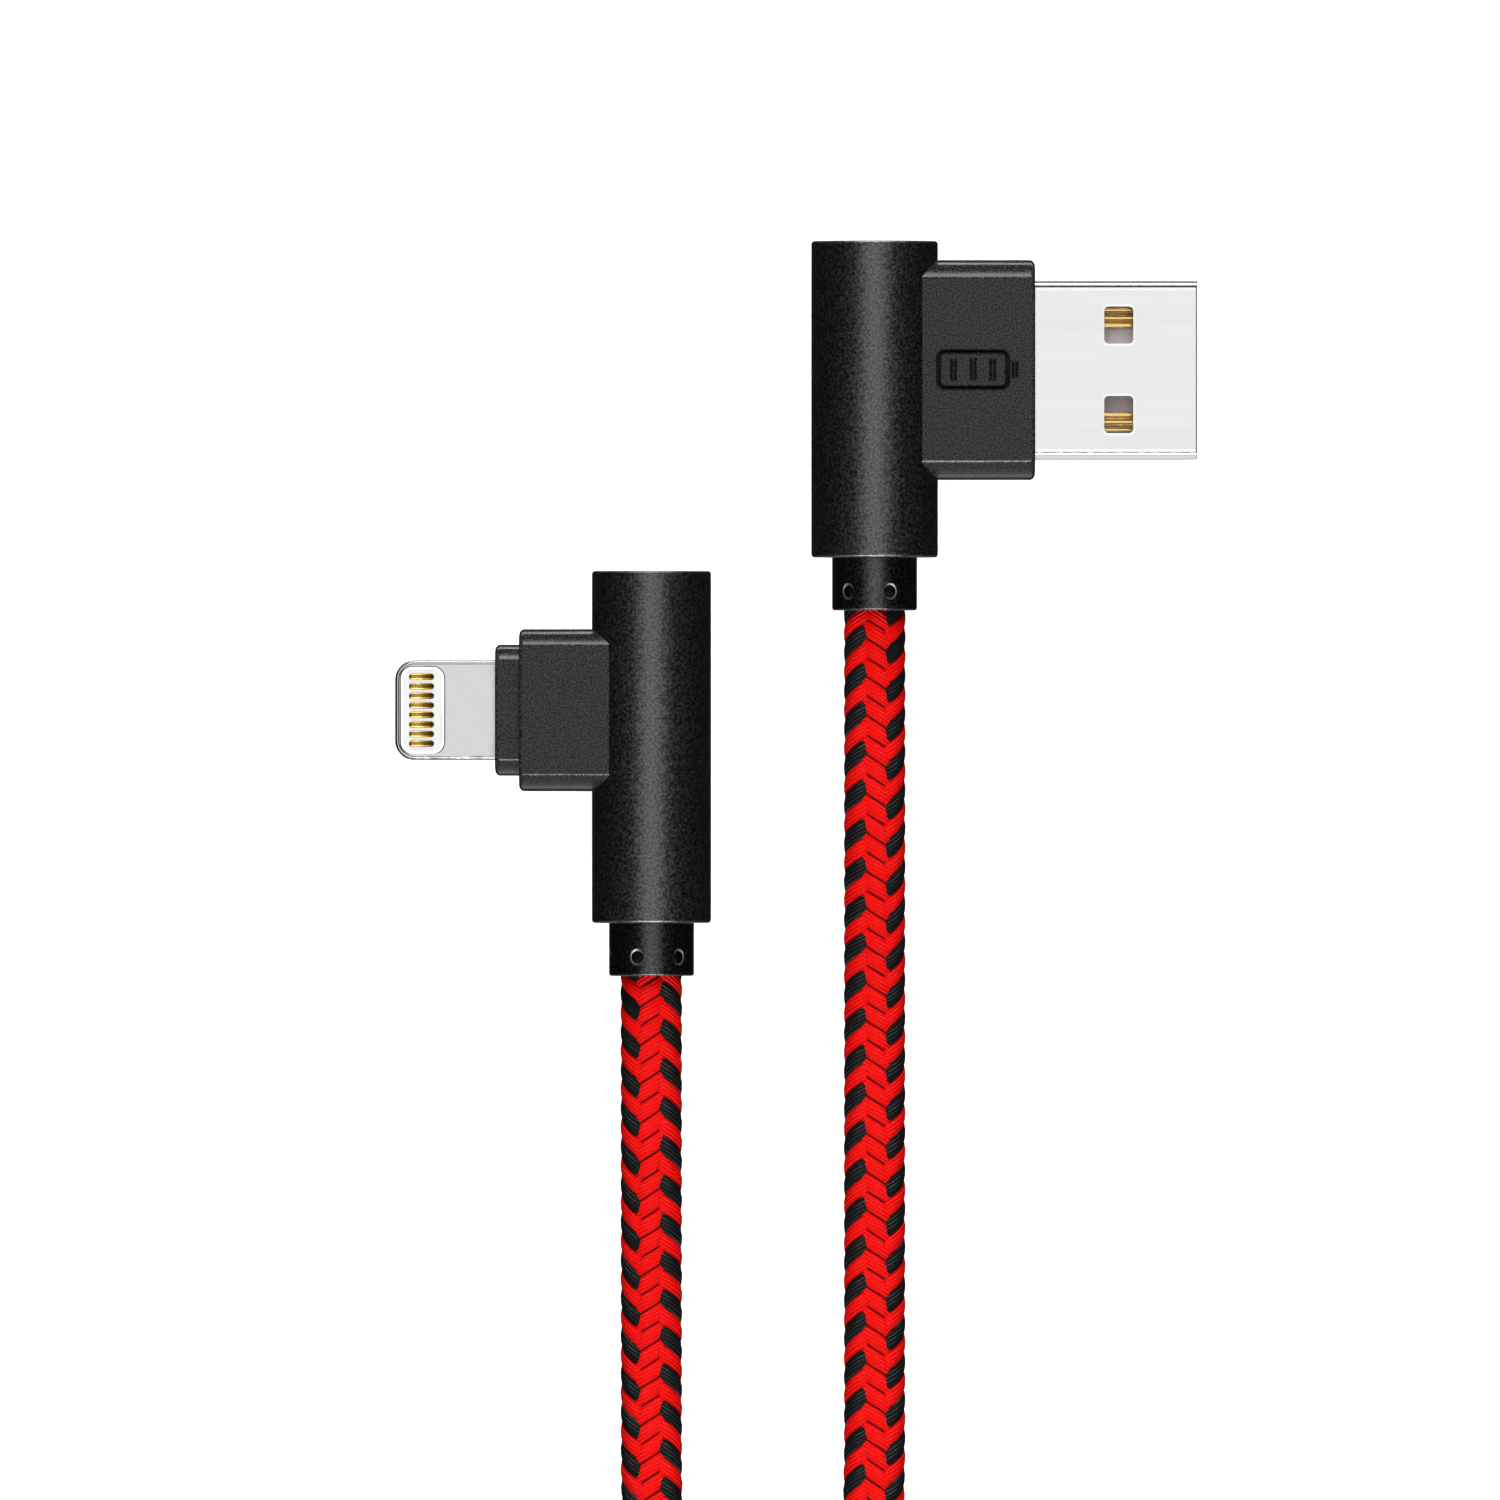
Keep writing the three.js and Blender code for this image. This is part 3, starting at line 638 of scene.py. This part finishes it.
def braid(name, line, hand, column_deg):
    """A cord of 12 yarns, six each way, each over two and under two, round a dark core.

    line is in metres, from the collar. column_deg turns the columns of yarns about the line. hand is 1 where
    the front column's yarns run from top right to bottom left, and -1 for its mirror image.
    """
    line = line / MM
    along = np.concatenate([[0], np.cumsum(np.linalg.norm(np.diff(line, axis=0), axis=1))])
    _, up, side = carried_frames(line)
    total, lay, radius = along[-1], BRAID["lead"], BRAID["mid_r"] + BRAID["swing"]
    fine = np.arange(0, min(FINE_LENGTH, total), lay / FINE_STEPS)
    coarse = np.linspace(fine[-1], total, int((total - fine[-1]) / lay * COARSE_STEPS) + 1)[1:]
    rings = np.concatenate([fine, coarse])
    front = math.radians(column_deg)
    across, height = np.array(YARN_SECTION).T
    m, n = len(across), len(rings)

    def place(s, angle, r):
        s = np.clip(s, 0, total)
        at = [np.stack([np.interp(s, along, axis[:, k]) for k in range(3)], -1) for axis in (line, up, side)]
        return at[0] + (at[1] * np.cos(angle)[..., None] + at[2] * np.sin(angle)[..., None]) * r[..., None]

    points, faces, slots, uvs = [], [], [], []
    start = 0
    for family in (1, -1):
        turn = -family * hand * 2 * math.pi / lay
        slant = turn * radius
        norm = math.hypot(slant, 1)
        for i in range(BRAID["yarns"]):
            first = front + math.radians(15 + 360 * i / BRAID["yarns"])
            s = rings[:, None] - across * BRAID["half_width"] * slant / norm
            angle = first + turn * rings[:, None] + across * BRAID["half_width"] / norm / radius
            wave = np.cos(3 * (angle - front)) - BRAID["over"]
            over = np.tanh(BRAID["steep"] * wave) / math.tanh(BRAID["steep"])
            r = BRAID["mid_r"] + family * BRAID["swing"] * over + height
            points.append(place(s, angle, r).reshape(-1, 3))
            faces += joined(n, m, start)
            black = family < 0 and i % 2
            band = [BLACK] * m if black else YARN_SLOTS
            slots += band * (n - 1) + [BLACK, BLACK]
            u = np.append((across + 1) / 2, 0)
            low, high = rings[:-1, None] * norm, rings[1:, None] * norm
            u0, u1, v0, v1 = np.broadcast_arrays(u[:-1], u[1:], low, high)
            uvs.append(np.stack([u0, v0, u1, v0, u1, v1, u0, v1], -1).reshape(-1, 2))
            uvs.append(np.zeros((2 * m, 2)))
            start += n * m
    core_rings = np.linspace(0, total, int(total / BRAID["core_step"]) + 1)
    sides, core_r = BRAID["core_sides"], BRAID["core_r"]
    angle = np.arange(sides) * 2 * math.pi / sides
    grid = np.broadcast_to(core_rings[:, None], (len(core_rings), sides))
    points.append(place(grid, np.broadcast_to(angle, grid.shape), np.full(grid.shape, core_r)).reshape(-1, 3))
    faces += joined(len(core_rings), sides, start)
    core_faces = (len(core_rings) - 1) * sides
    slots += [CORE_SLOT] * (core_faces + 2)
    uvs.append(np.zeros((core_faces * 4 + 2 * sides, 2)))
    obj = piece(name, np.concatenate(points), faces, RED_YARN, BLACK_YARN, CORE, RED_PAINTED_SHADE,
                uvs=np.concatenate(uvs), slots=slots)
    face_out(obj)
    obj.data.polygons.foreach_set("use_smooth", np.ones(len(obj.data.polygons), bool))
    return obj


def cords():
    """One braid in two pieces, which meet under the tie."""
    route = USB_LEAD + coil_points() + PHONE_LEAD[::-1]
    line = smooth_line(route)
    split_at = np.array(coil_points()[round(SPLIT_TURN * POINTS_A_TURN)])
    split = int(np.linalg.norm(line - split_at, axis=1).argmin())
    usb_line, phone_line = line[:split + 1], line[split:][::-1]
    for plug, part, hand, column, nodes in (
        ("usb", usb_line, -1, 3, ["cord_usb_lead", "cord_coil"]),
        ("phone", phone_line, 1, -3, ["cord_phone_lead"]),
    ):
        exit_at = part[0]
        part = np.vstack([exit_at + (0, BRAID["inside"] * MM, 0), part])
        obj = braid(f"braided_cord_{plug}", part, hand, column)
        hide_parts(*nodes)
        obj.visible_glossy = False
        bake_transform(obj)
        length = float(np.linalg.norm(np.diff(part, axis=0), axis=1).sum())


# ---------------------------------------------------------------- barrels and collars

def placed(obj, body, slot, *nodes):
    """obj on its body, in place of its CAD nodes. The slot argument is not used."""
    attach(obj, body)
    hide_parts(*nodes)


def barrel(plug):
    """A tube with a closed top, a floor with a hole for the collar, and a window for the nose."""
    wall, r, rim_r = BARREL, plug.radius, BARREL["rim"]
    bore, hole = r - wall["side"], COLLAR["flange_r"] + 0.05
    low_rim = [(r - by, plug.bottom + plug.top - at) for at, by in rim(plug.top, 1, rim_r, 6)]
    top_rim = [(r - by, at) for at, by in rim(plug.top, 1, rim_r, 6)]
    profile = [
        (0, plug.top - wall["top"]), (bore, plug.top - wall["top"]), (bore, plug.bottom + wall["bottom"]),
        (hole, plug.bottom + wall["bottom"]), (hole, plug.bottom), *low_rim[::-1], *top_rim, (0, plug.top),
    ]
    obj = turned(f"{plug.prefix}_barrel_skin", profile, (plug.x, plug.z), ANODISED)
    half_y, half_z = wall["window"]
    window = rectangle(2 * half_y, 2 * half_z, 0.2)
    combined(obj, lofted("window", window, [(0, 0), (r + 1, 0)], plug.section))
    placed(finished(obj), f"{plug.prefix}_plug", "anodised_aluminium", f"{plug.prefix}_barrel")


def collar(plug):
    """The strain relief's tube, with a flange inside the barrel and a ring of countersunk holes."""
    c, r, mouth = COLLAR, COLLAR["r"], plug.mouth
    top = mouth + c["length"] + BARREL["bottom"]
    mouth_rim = [(r - by, 2 * mouth - at) for at, by in rim(mouth, 1, c["rim"], 5)]
    bore_rim = [(c["bore"] + by, 2 * mouth - at) for at, by in rim(mouth, 1, 0.1, 3)]
    profile = [
        *mouth_rim[::-1], (r, top - c["flange"]), (c["flange_r"], top - c["flange"] + 0.02),
        (c["flange_r"], top), (c["bore"], top), *bore_rim,
    ]
    obj = turned(f"{plug.prefix}_collar_skin", profile, (plug.x, plug.z), COLLAR_BLACK, HOLE_RIM_PAINTED_HIGHLIGHT)
    turns = [math.radians(plug.hole_turn + 360 * i / c["holes"]) for i in range(c["holes"])]
    combined(obj, *[collar_hole(plug, turn) for turn in turns])
    # The countersinks take the lighter metal, a painted highlight ring round each hole.
    for face in obj.data.polygons:
        x, y, z = np.array(face.center) / MM - (plug.x, mouth + c["hole_y"], plug.z)
        near = min(abs(math.remainder(math.atan2(x, z) - turn, 2 * math.pi)) for turn in turns)
        reach = math.hypot(math.hypot(x, z) * math.sin(near), y) if near < 1 else c["r"]
        outward = (face.normal.x * x + face.normal.z * z) / math.hypot(x, z)
        if 0.4 < outward < 0.9 and c["hole_r"] < reach < c["hole_r"] + c["sink"]:
            face.material_index = 1
    placed(finished(obj, 20), f"{plug.prefix}_plug", "black_collar", f"{plug.prefix}_collar")


def collar_hole(plug, turn):
    """A cutter for one countersunk hole, turned about the plug's axis from straight up."""
    c = COLLAR
    out = np.array([math.sin(turn), 0, math.cos(turn)])
    across = np.array([math.cos(turn), 0, -math.sin(turn)])
    centre = np.array([plug.x, plug.mouth + c["hole_y"], plug.z])

    def place(u, v, along):
        return centre + np.outer(u, across) + np.outer(v, (0, 1, 0)) + np.outer(along, out)

    turns = np.arange(32) * 2 * math.pi / 32
    circle = np.stack([np.cos(turns), np.sin(turns)], 1) * c["hole_r"]
    depth = c["sink"] / 2
    stations = [(1.5, 0), (c["r"] - depth, 0), (c["r"] + depth, -2 * c["sink"]), (4, -2 * c["sink"])]
    return lofted("hole", circle, stations, place)


def relief_core(plug):
    """The end of the cord, moulded over in black inside the collar and barrel."""
    c, mouth = RELIEF_CORE, plug.mouth
    profile = [
        (0, mouth + c["from"]), (c["r"], mouth + c["from"]), (c["r"], mouth + c["shoulder"]),
        (c["cord_r"], mouth + c["shoulder"] + 0.2), (c["cord_r"], mouth + c["to"]), (0, mouth + c["to"]),
    ]
    obj = turned(f"{plug.prefix}_relief_core", profile, (plug.x, plug.z), MOULDED, sides=48)
    placed(finished(obj), f"{plug.prefix}_plug", "black_collar", f"{plug.prefix}_cord_end")


# ---------------------------------------------------------------- nose blocks

def bulged(start, end, bulge, steps=8):
    """Points along an arc, which stands out by bulge to the right of the line from start to end."""
    start, end = np.array(start, float), np.array(end, float)
    half = (end - start) / 2
    length = np.linalg.norm(half)
    radius = (length ** 2 + bulge ** 2) / (2 * bulge)
    out = np.array([half[1], -half[0]]) / length
    centre = start + half + out * (bulge - radius)
    reach = math.asin(length / radius)
    return [tuple(centre + radius * (out * math.cos(a) + half / length * math.sin(a)))
            for a in np.linspace(-reach, reach, steps + 1)]


def block_outline(shape):
    """A nose block's outline seen from its front, as half widths and heights about its middle."""
    ridge = (shape["mid"], shape["mid_z"])
    below = (shape["mid"] + RIDGE["y"], shape["mid_z"] - RIDGE["z"])
    brow = (shape["flat"] + BROW["out"], shape["t"] - BROW["drop"])
    upper = [(shape["half"], shape["low_z"]), below] + bulged(ridge, brow, shape["bulge"])
    upper.append((shape["flat"] - BROW["in"], shape["t"]))
    right = [(y, -z) for y, z in upper[::-1]] + upper
    return np.array(right + [(-y, z) for y, z in right[::-1]])


def block_body(name, plug, shape, rear, front):
    """A prism whose front rim is rounded, more at the sides than along the flat faces."""
    outline, edge = block_outline(shape), BLOCK_EDGE
    layers = [(outline, rear)]
    steps = 6
    for k in range(steps + 1):
        turn = math.pi / 2 * k / steps
        less = 1 - math.cos(turn)
        scale = (1 - edge["side"] * less / shape["half"], 1 - edge["flat"] * less / shape["t"])
        layers.append((outline * scale, front - edge["front"] * (1 - math.sin(turn))))
    return through(name, layers, plug.section, MOULDED)


def barrel_room(plug):
    """Room for the barrel, so that the block's back fits round it."""
    reach, radius = plug.block["half"] + 1, plug.radius + FIT
    profile = [(0, plug.nose_y - reach), (radius, plug.nose_y - reach),
               (radius, plug.nose_y + reach), (0, plug.nose_y + reach)]
    return turned("barrel_room", profile, (plug.x, plug.z))


def nose_cavity(plug, node, to):
    """Room for the piece that lies in the nose behind its front wall."""
    low, high = corners(node)
    half = (high - low) / 2 + 0.2
    return lofted("cavity", rectangle(2 * half[1], 2 * half[2], 0.3), [(0, 0), (to, 0)], plug.section)


def rear_edge(plug):
    """Cutters for a small bevel on each flat face, along the barrel."""
    t, half, small = plug.block["t"], plug.block["half"], BLOCK_EDGE["rear"]
    at = math.sqrt((plug.radius + FIT) ** 2 - t * t)
    made = []
    for side in (1, -1):
        wedge = np.array([(at - 1, t - small), (at, t - small), (at + small, t + 0.001), (at + small, t + 1),
                          (at - 1, t + 1)])[::side]
        x, z = plug.x + plug.facing * wedge[:, 0], plug.z + side * wedge[:, 1]
        n = len(wedge)
        points = np.concatenate([np.stack([x, np.full(n, plug.nose_y + y), z], 1) for y in (-half, half)])
        made.append(face_out(piece("rear_edge", points, joined(2, n))))
    return made


def nose_block(plug, inner_node, *cutters):
    """A nose block with room for the barrel and for the piece inside it, and the cutters taken out of it."""
    cavity_to = plug.reach(inner_node)[1] + 0.1
    obj = block_body(f"{plug.prefix}_nose_block_skin", plug, plug.block, 1.0, plug.front)
    combined(obj, barrel_room(plug), nose_cavity(plug, inner_node, cavity_to), *rear_edge(plug), *cutters)
    finished(obj, BLOCK_EDGE["sharp_deg"])
    placed(obj, f"{plug.prefix}_plug", "moulded_black", f"{plug.prefix}_nose_block")


def battery_mark(plug):
    """Cutters for a battery sign: a V groove for its outline, and pits with sloped walls for the rest."""
    m, t = BADGE, plug.block["t"]
    over, side = 0.05, m["line"] / 2
    slope = m["deep"] / side
    spread = (over + m["deep"]) / slope
    outline = rectangle(m["long"], m["high"], m["corner"]) + (m["x"], 0)
    groove = [(t + over, side - spread), (t - m["deep"], side), (t + over, side + spread)]
    made = [lofted("mark_outline", outline, groove, plug.plan, ring=True)]

    def pit(x, long, high):
        bottom = min(long, high) / 2 - m["pit_floor"] / 2
        stations = [(t + over, -over / slope), (t - bottom * slope, bottom)]
        made.append(lofted("mark_pit", rectangle(long, high, 0) + (x, 0), stations, plug.plan))

    pit(m["x"] + m["long"] / 2 + m["knob"] / 2 + m["knob_gap"], m["knob"], m["knob_high"])
    room = m["long"] - 2 * m["line"] - m["bars_less"]
    for i in range(m["bars"]):
        pit(m["x"] + room * ((i + 0.5) / m["bars"] - 0.5), m["bar"], m["bar_high"])
    return made


# ---------------------------------------------------------------- USB nose

def usb_nose(plug):
    """The USB plug's block, shell, tongue and contacts."""
    rear, tip = plug.reach("usb_shell")
    low, high = corners("usb_shell")
    size = (high - low)[1:]
    shell_outline = rectangle(*size, SHELL["corner"], 32)
    entry_outline = rectangle(*(size + 2 * FIT), SHELL["corner"] + FIT)
    entry = lofted("entry", entry_outline, [(rear - 0.3, 0), (plug.front + 1, 0)], plug.section)
    nose_block(plug, "usb_inner_mould", entry, *battery_mark(plug))
    usb_shell(plug, shell_outline, rear, tip)
    usb_tongue(plug)
    for name in ("vbus", "data_minus", "data_plus", "ground"):
        usb_contact(plug, f"usb_contact_{name}")


def sunk(half, bevel, bevel_z):
    """Stations of a cutter through a plate, twice half thick, with a shallow bevel round both ends."""
    flare = -2 * bevel
    return [(-half - bevel_z, flare), (bevel_z - half, 0), (half - bevel_z, 0), (half + bevel_z, flare)]


def paint_bevel_highlight(obj):
    """Give the second material, a brighter metal that paints a highlight on the bevels, to every face that is
    tilted a little from flat.
    """
    for face in obj.data.polygons:
        if 0.9 < abs(face.normal.z) < 0.9995:
            face.material_index = 1


def usb_shell(plug, outline, rear, tip):
    """A tube of folded sheet with a rounded lip, and two windows through its top and bottom."""
    sheet = SHELL["sheet"]
    outside = rim(tip, 1, SHELL["lip"])
    inside = [(at, sheet - by) for at, by in outside][::-1]
    obj = lofted("usb_shell_skin", outline, [(rear, 0), *outside, *inside, (rear, sheet)], plug.section,
                 BRIGHT_METAL, BEVEL_PAINTED_HIGHLIGHT, ring=True)
    w = SHELL_WINDOW
    half = outline[:, 1].max()
    slots = []
    for y in (-w["y"], w["y"]):
        hole = rectangle(w["long"], w["wide"], w["corner"]) + (tip - w["from_tip"], y)
        slots.append(lofted("slot", hole, sunk(half, w["bevel"], w["bevel_z"]), plug.plan))
    combined(obj, *slots)
    paint_bevel_highlight(obj)
    placed(finished(obj, 3), "usb_plug", "plug_metal", "usb_shell")


def usb_tongue(plug):
    """The blade under the contacts, with a thicker part at its back."""
    rear, tip = plug.reach("usb_tongue")
    low, high = corners("usb_tongue")
    wide, t = (high - low)[1], TONGUE
    blade = rectangle(wide, t["top"] - t["low"], t["edge"]) + (0, (t["top"] + t["low"]) / 2)
    wall = rectangle(wide, t["stop_top"] - t["low"], t["edge"]) + (0, (t["stop_top"] + t["low"]) / 2)
    obj = lofted("usb_tongue_skin", blade, [(rear, 0), (tip - 0.35, 0), (tip - 0.1, 0.1), (tip, 0.3)],
                 plug.section, TONGUE_PLASTIC)
    stop = lofted("stop", wall, [(rear + 0.01, 0), (rear + t["stop"], 0)], plug.section)
    combined(obj, stop, operation="UNION")
    placed(finished(obj), "usb_plug", "white_plastic", "usb_tongue")


def usb_contact(plug, node):
    """A blade with a crowned and ribbed face, whose tip dips into the tongue."""
    rear, tip = plug.reach(node)
    low, high = corners(node)
    half = (high[1] - low[1]) / 2 + 0.06
    middle = (high[1] + low[1]) / 2 - plug.nose_y
    bottom = low[2] - plug.z
    crown, rib, ribs, base = 0.34, 0.06, 5, 0.05
    arc = [(half * math.cos(a), bottom + base + crown * math.sin(a) + rib * math.sin(ribs * a))
           for a in np.linspace(0, math.pi, 41)]
    outline = np.array([(half, bottom)] + arc + [(-half, bottom)]) + (middle, 0)
    squeezed = [(outline, rear)]
    for at, left in ((tip - 1.0, 1.0), (tip - 0.5, 0.8), (tip - 0.15, 0.45), (tip, 0.15)):
        flat = outline.copy()
        flat[:, 1] = bottom + (outline[:, 1] - bottom) * left
        squeezed.append((flat, at))
    obj = through(f"{node}_blade", squeezed, plug.section, GOLD)
    placed(finished(obj, 40), "usb_plug", "gold_contact", node)


# ---------------------------------------------------------------- phone nose

def phone_nose(plug):
    """The phone plug's block, neck and tab."""
    neck_rear, neck_front = plug.reach("phone_plug_neck")
    entry_outline = block_outline({**NECK, **{k: NECK[k] + FIT for k in ("flat", "mid", "half", "t")}})
    layers = [(entry_outline, neck_rear - 0.2), (entry_outline, plug.front + 1)]
    entry = through("entry", layers, plug.section)
    nose_block(plug, "phone_circuit_board", entry)

    low, high = corners("phone_tab_frame")
    width, thick = (high - low)[1:]
    neck = block_body("phone_neck_skin", plug, NECK, neck_rear, neck_front)
    slot = rectangle(width + 2 * FIT, thick + 2 * FIT, 0.2)
    combined(neck, lofted("slot", slot, [(0, 0), (neck_front + 1, 0)], plug.section))
    placed(finished(neck, BLOCK_EDGE["sharp_deg"]), "phone_plug", "moulded_black", "phone_plug_neck")
    phone_tab(plug, width, thick)


def phone_tab(plug, width, thick):
    """The metal tab, the white insert in its opening, and eight contacts on each face."""
    rear, tip = plug.reach("phone_tab_frame")
    outline = filleted([(tip, -width / 2), (tip, width / 2), (rear, width / 2), (rear, -width / 2)],
                       [TAB["corner"], TAB["corner"], 0, 0], 10)
    top = rim(thick / 2 - TAB["edge_z"], 1, TAB["rim"], 6) + [(thick / 2, TAB["edge"])]
    obj = lofted("phone_tab_skin", outline, [(-at, by) for at, by in top[::-1]] + top, plug.plan,
                 TAB_METAL, BEVEL_PAINTED_HIGHLIGHT, TAB_SIDE_PAINTED_SHADE)
    back, front = plug.reach("phone_tab_insert")
    middle = (back + front) / 2
    hole = rectangle(INSERT["long"], INSERT["wide"], INSERT["corner"]) + (middle, 0)
    combined(obj, lofted("hole", hole, sunk(thick / 2, INSERT["bevel"], INSERT["bevel"]), plug.plan))
    paint_bevel_highlight(obj)
    # The tab's steep side faces take the dark copy of its metal, painted shade for a dark outline.
    for face in obj.data.polygons:
        if abs(face.normal.z) < 0.85:
            face.material_index = 2
    placed(finished(obj, 3), "phone_plug", "plug_metal", "phone_tab_frame")

    low, high = corners("phone_tab_insert")
    face = (high[2] - low[2]) / 2 + INSERT["proud"]
    size = (high - low)[:2] - 2 * INSERT["gap"]
    plastic = rectangle(*size, INSERT["plastic_corner"]) + (middle, 0)
    bands = rim(face, 1, INSERT["edge"], 3)
    insert = lofted("phone_insert_skin", plastic, [(-at, by) for at, by in bands[::-1]] + bands, plug.plan,
                    WHITE_PLASTIC)
    placed(finished(insert), "phone_plug", "white_plastic", "phone_tab_insert")
    for side in ("top", "bottom"):
        for i in range(8):
            phone_contact(plug, f"phone_contact_{side}_{i + 1}")


def phone_contact(plug, node):
    """A pill with a crowned face."""
    low, high = corners(node)
    size, middle = (high - low)[:2], (high + low) / 2
    outline = rectangle(*size, size[1] / 2 - 0.001, 8) + (plug.ahead(middle[0]), middle[1] - plug.nose_y)
    outward = 1 if middle[2] > plug.z else -1
    base, face = sorted((abs(low[2] - plug.z), abs(high[2] - plug.z)))
    stations = [(base - 0.3, 0), (face - 0.06, 0), (face - 0.03, 0.015), (face, 0.05), (face + 0.025, 0.1),
                (face + 0.035, 0.16)]
    obj = lofted(f"{node}_pad", outline, [(outward * at, by) for at, by in stations], plug.plan, GOLD_PAD)
    placed(finished(obj, 50), "phone_plug", "gold_contact", node)


# ---------------------------------------------------------------- tie

def tie():
    """A hook-and-loop strap: once round the coil, with its tail pressed down over its own start."""
    low, high = corners("cable_tie")
    t = TIE["thick"]
    x = (low[0] + high[0]) / 2
    y0, y1, z0, z1 = low[1] + t / 2, high[1] - t / 2, low[2] + t / 2, high[2] - t / 2
    start, over = y1 - TIE["start"], t + TIE["gap"]
    ramp = start - TIE["ramp"]
    loop = filleted([(start, z1), (y1, z1), (y1, z0), (y0, z0), (y0, z1), (ramp, z1)],
                    [0] + [TIE["corner"]] * 4 + [0], 8)
    step = [(ramp + 0.5 * k, z1 + over * float(smoothstep(k / 5))) for k in range(1, 6)]
    end = start + TIE["tail"]
    tail = [(start + 2, z1 + over), (end - 1, z1 + over), (end, z1 + t + 0.15)]
    path = np.concatenate([loop, step, tail])
    along = np.gradient(path, axis=0)
    along /= np.linalg.norm(along, axis=1)[:, None]
    outline = rectangle(high[0] - low[0], t, 0.2, 3)
    points = np.concatenate([
        np.stack([x + outline[:, 0], y - outline[:, 1] * dz, z + outline[:, 1] * dy], 1)
        for (y, z), (dy, dz) in zip(path, along)
    ])
    faces = joined(len(path), len(outline))
    obj = face_out(piece("hook_and_loop_tie", points, faces, TIE_CLOTH))
    placed(finished(obj, 50), "cord", "tie_fabric", "cable_tie")


# ---------------------------------------------------------------- run

def inner_parts():
    """The pieces inside the plugs keep their CAD shapes, and get their materials here."""
    looks = {"usb_inner_mould": INNER_PLASTIC, "phone_charge_chip": INNER_PLASTIC, "phone_circuit_board": BOARD}
    for prefix in ("usb", "phone"):
        looks[f"{prefix}_braid_ferrule"] = COPPER
        for colour, insulation in WIRES.items():
            looks[f"{prefix}_wire_{colour}"] = insulation
    for node, look in looks.items():
        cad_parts[node].material_slots[0].material = look


stage()
cords()
usb = Plug("usb", 1, USB_BLOCK, -38.6)
phone = Plug("phone", -1, PHONE_BLOCK, -20)
for plug in (usb, phone):
    barrel(plug)
    collar(plug)
    relief_core(plug)
usb_nose(usb)
phone_nose(phone)
tie()
inner_parts()
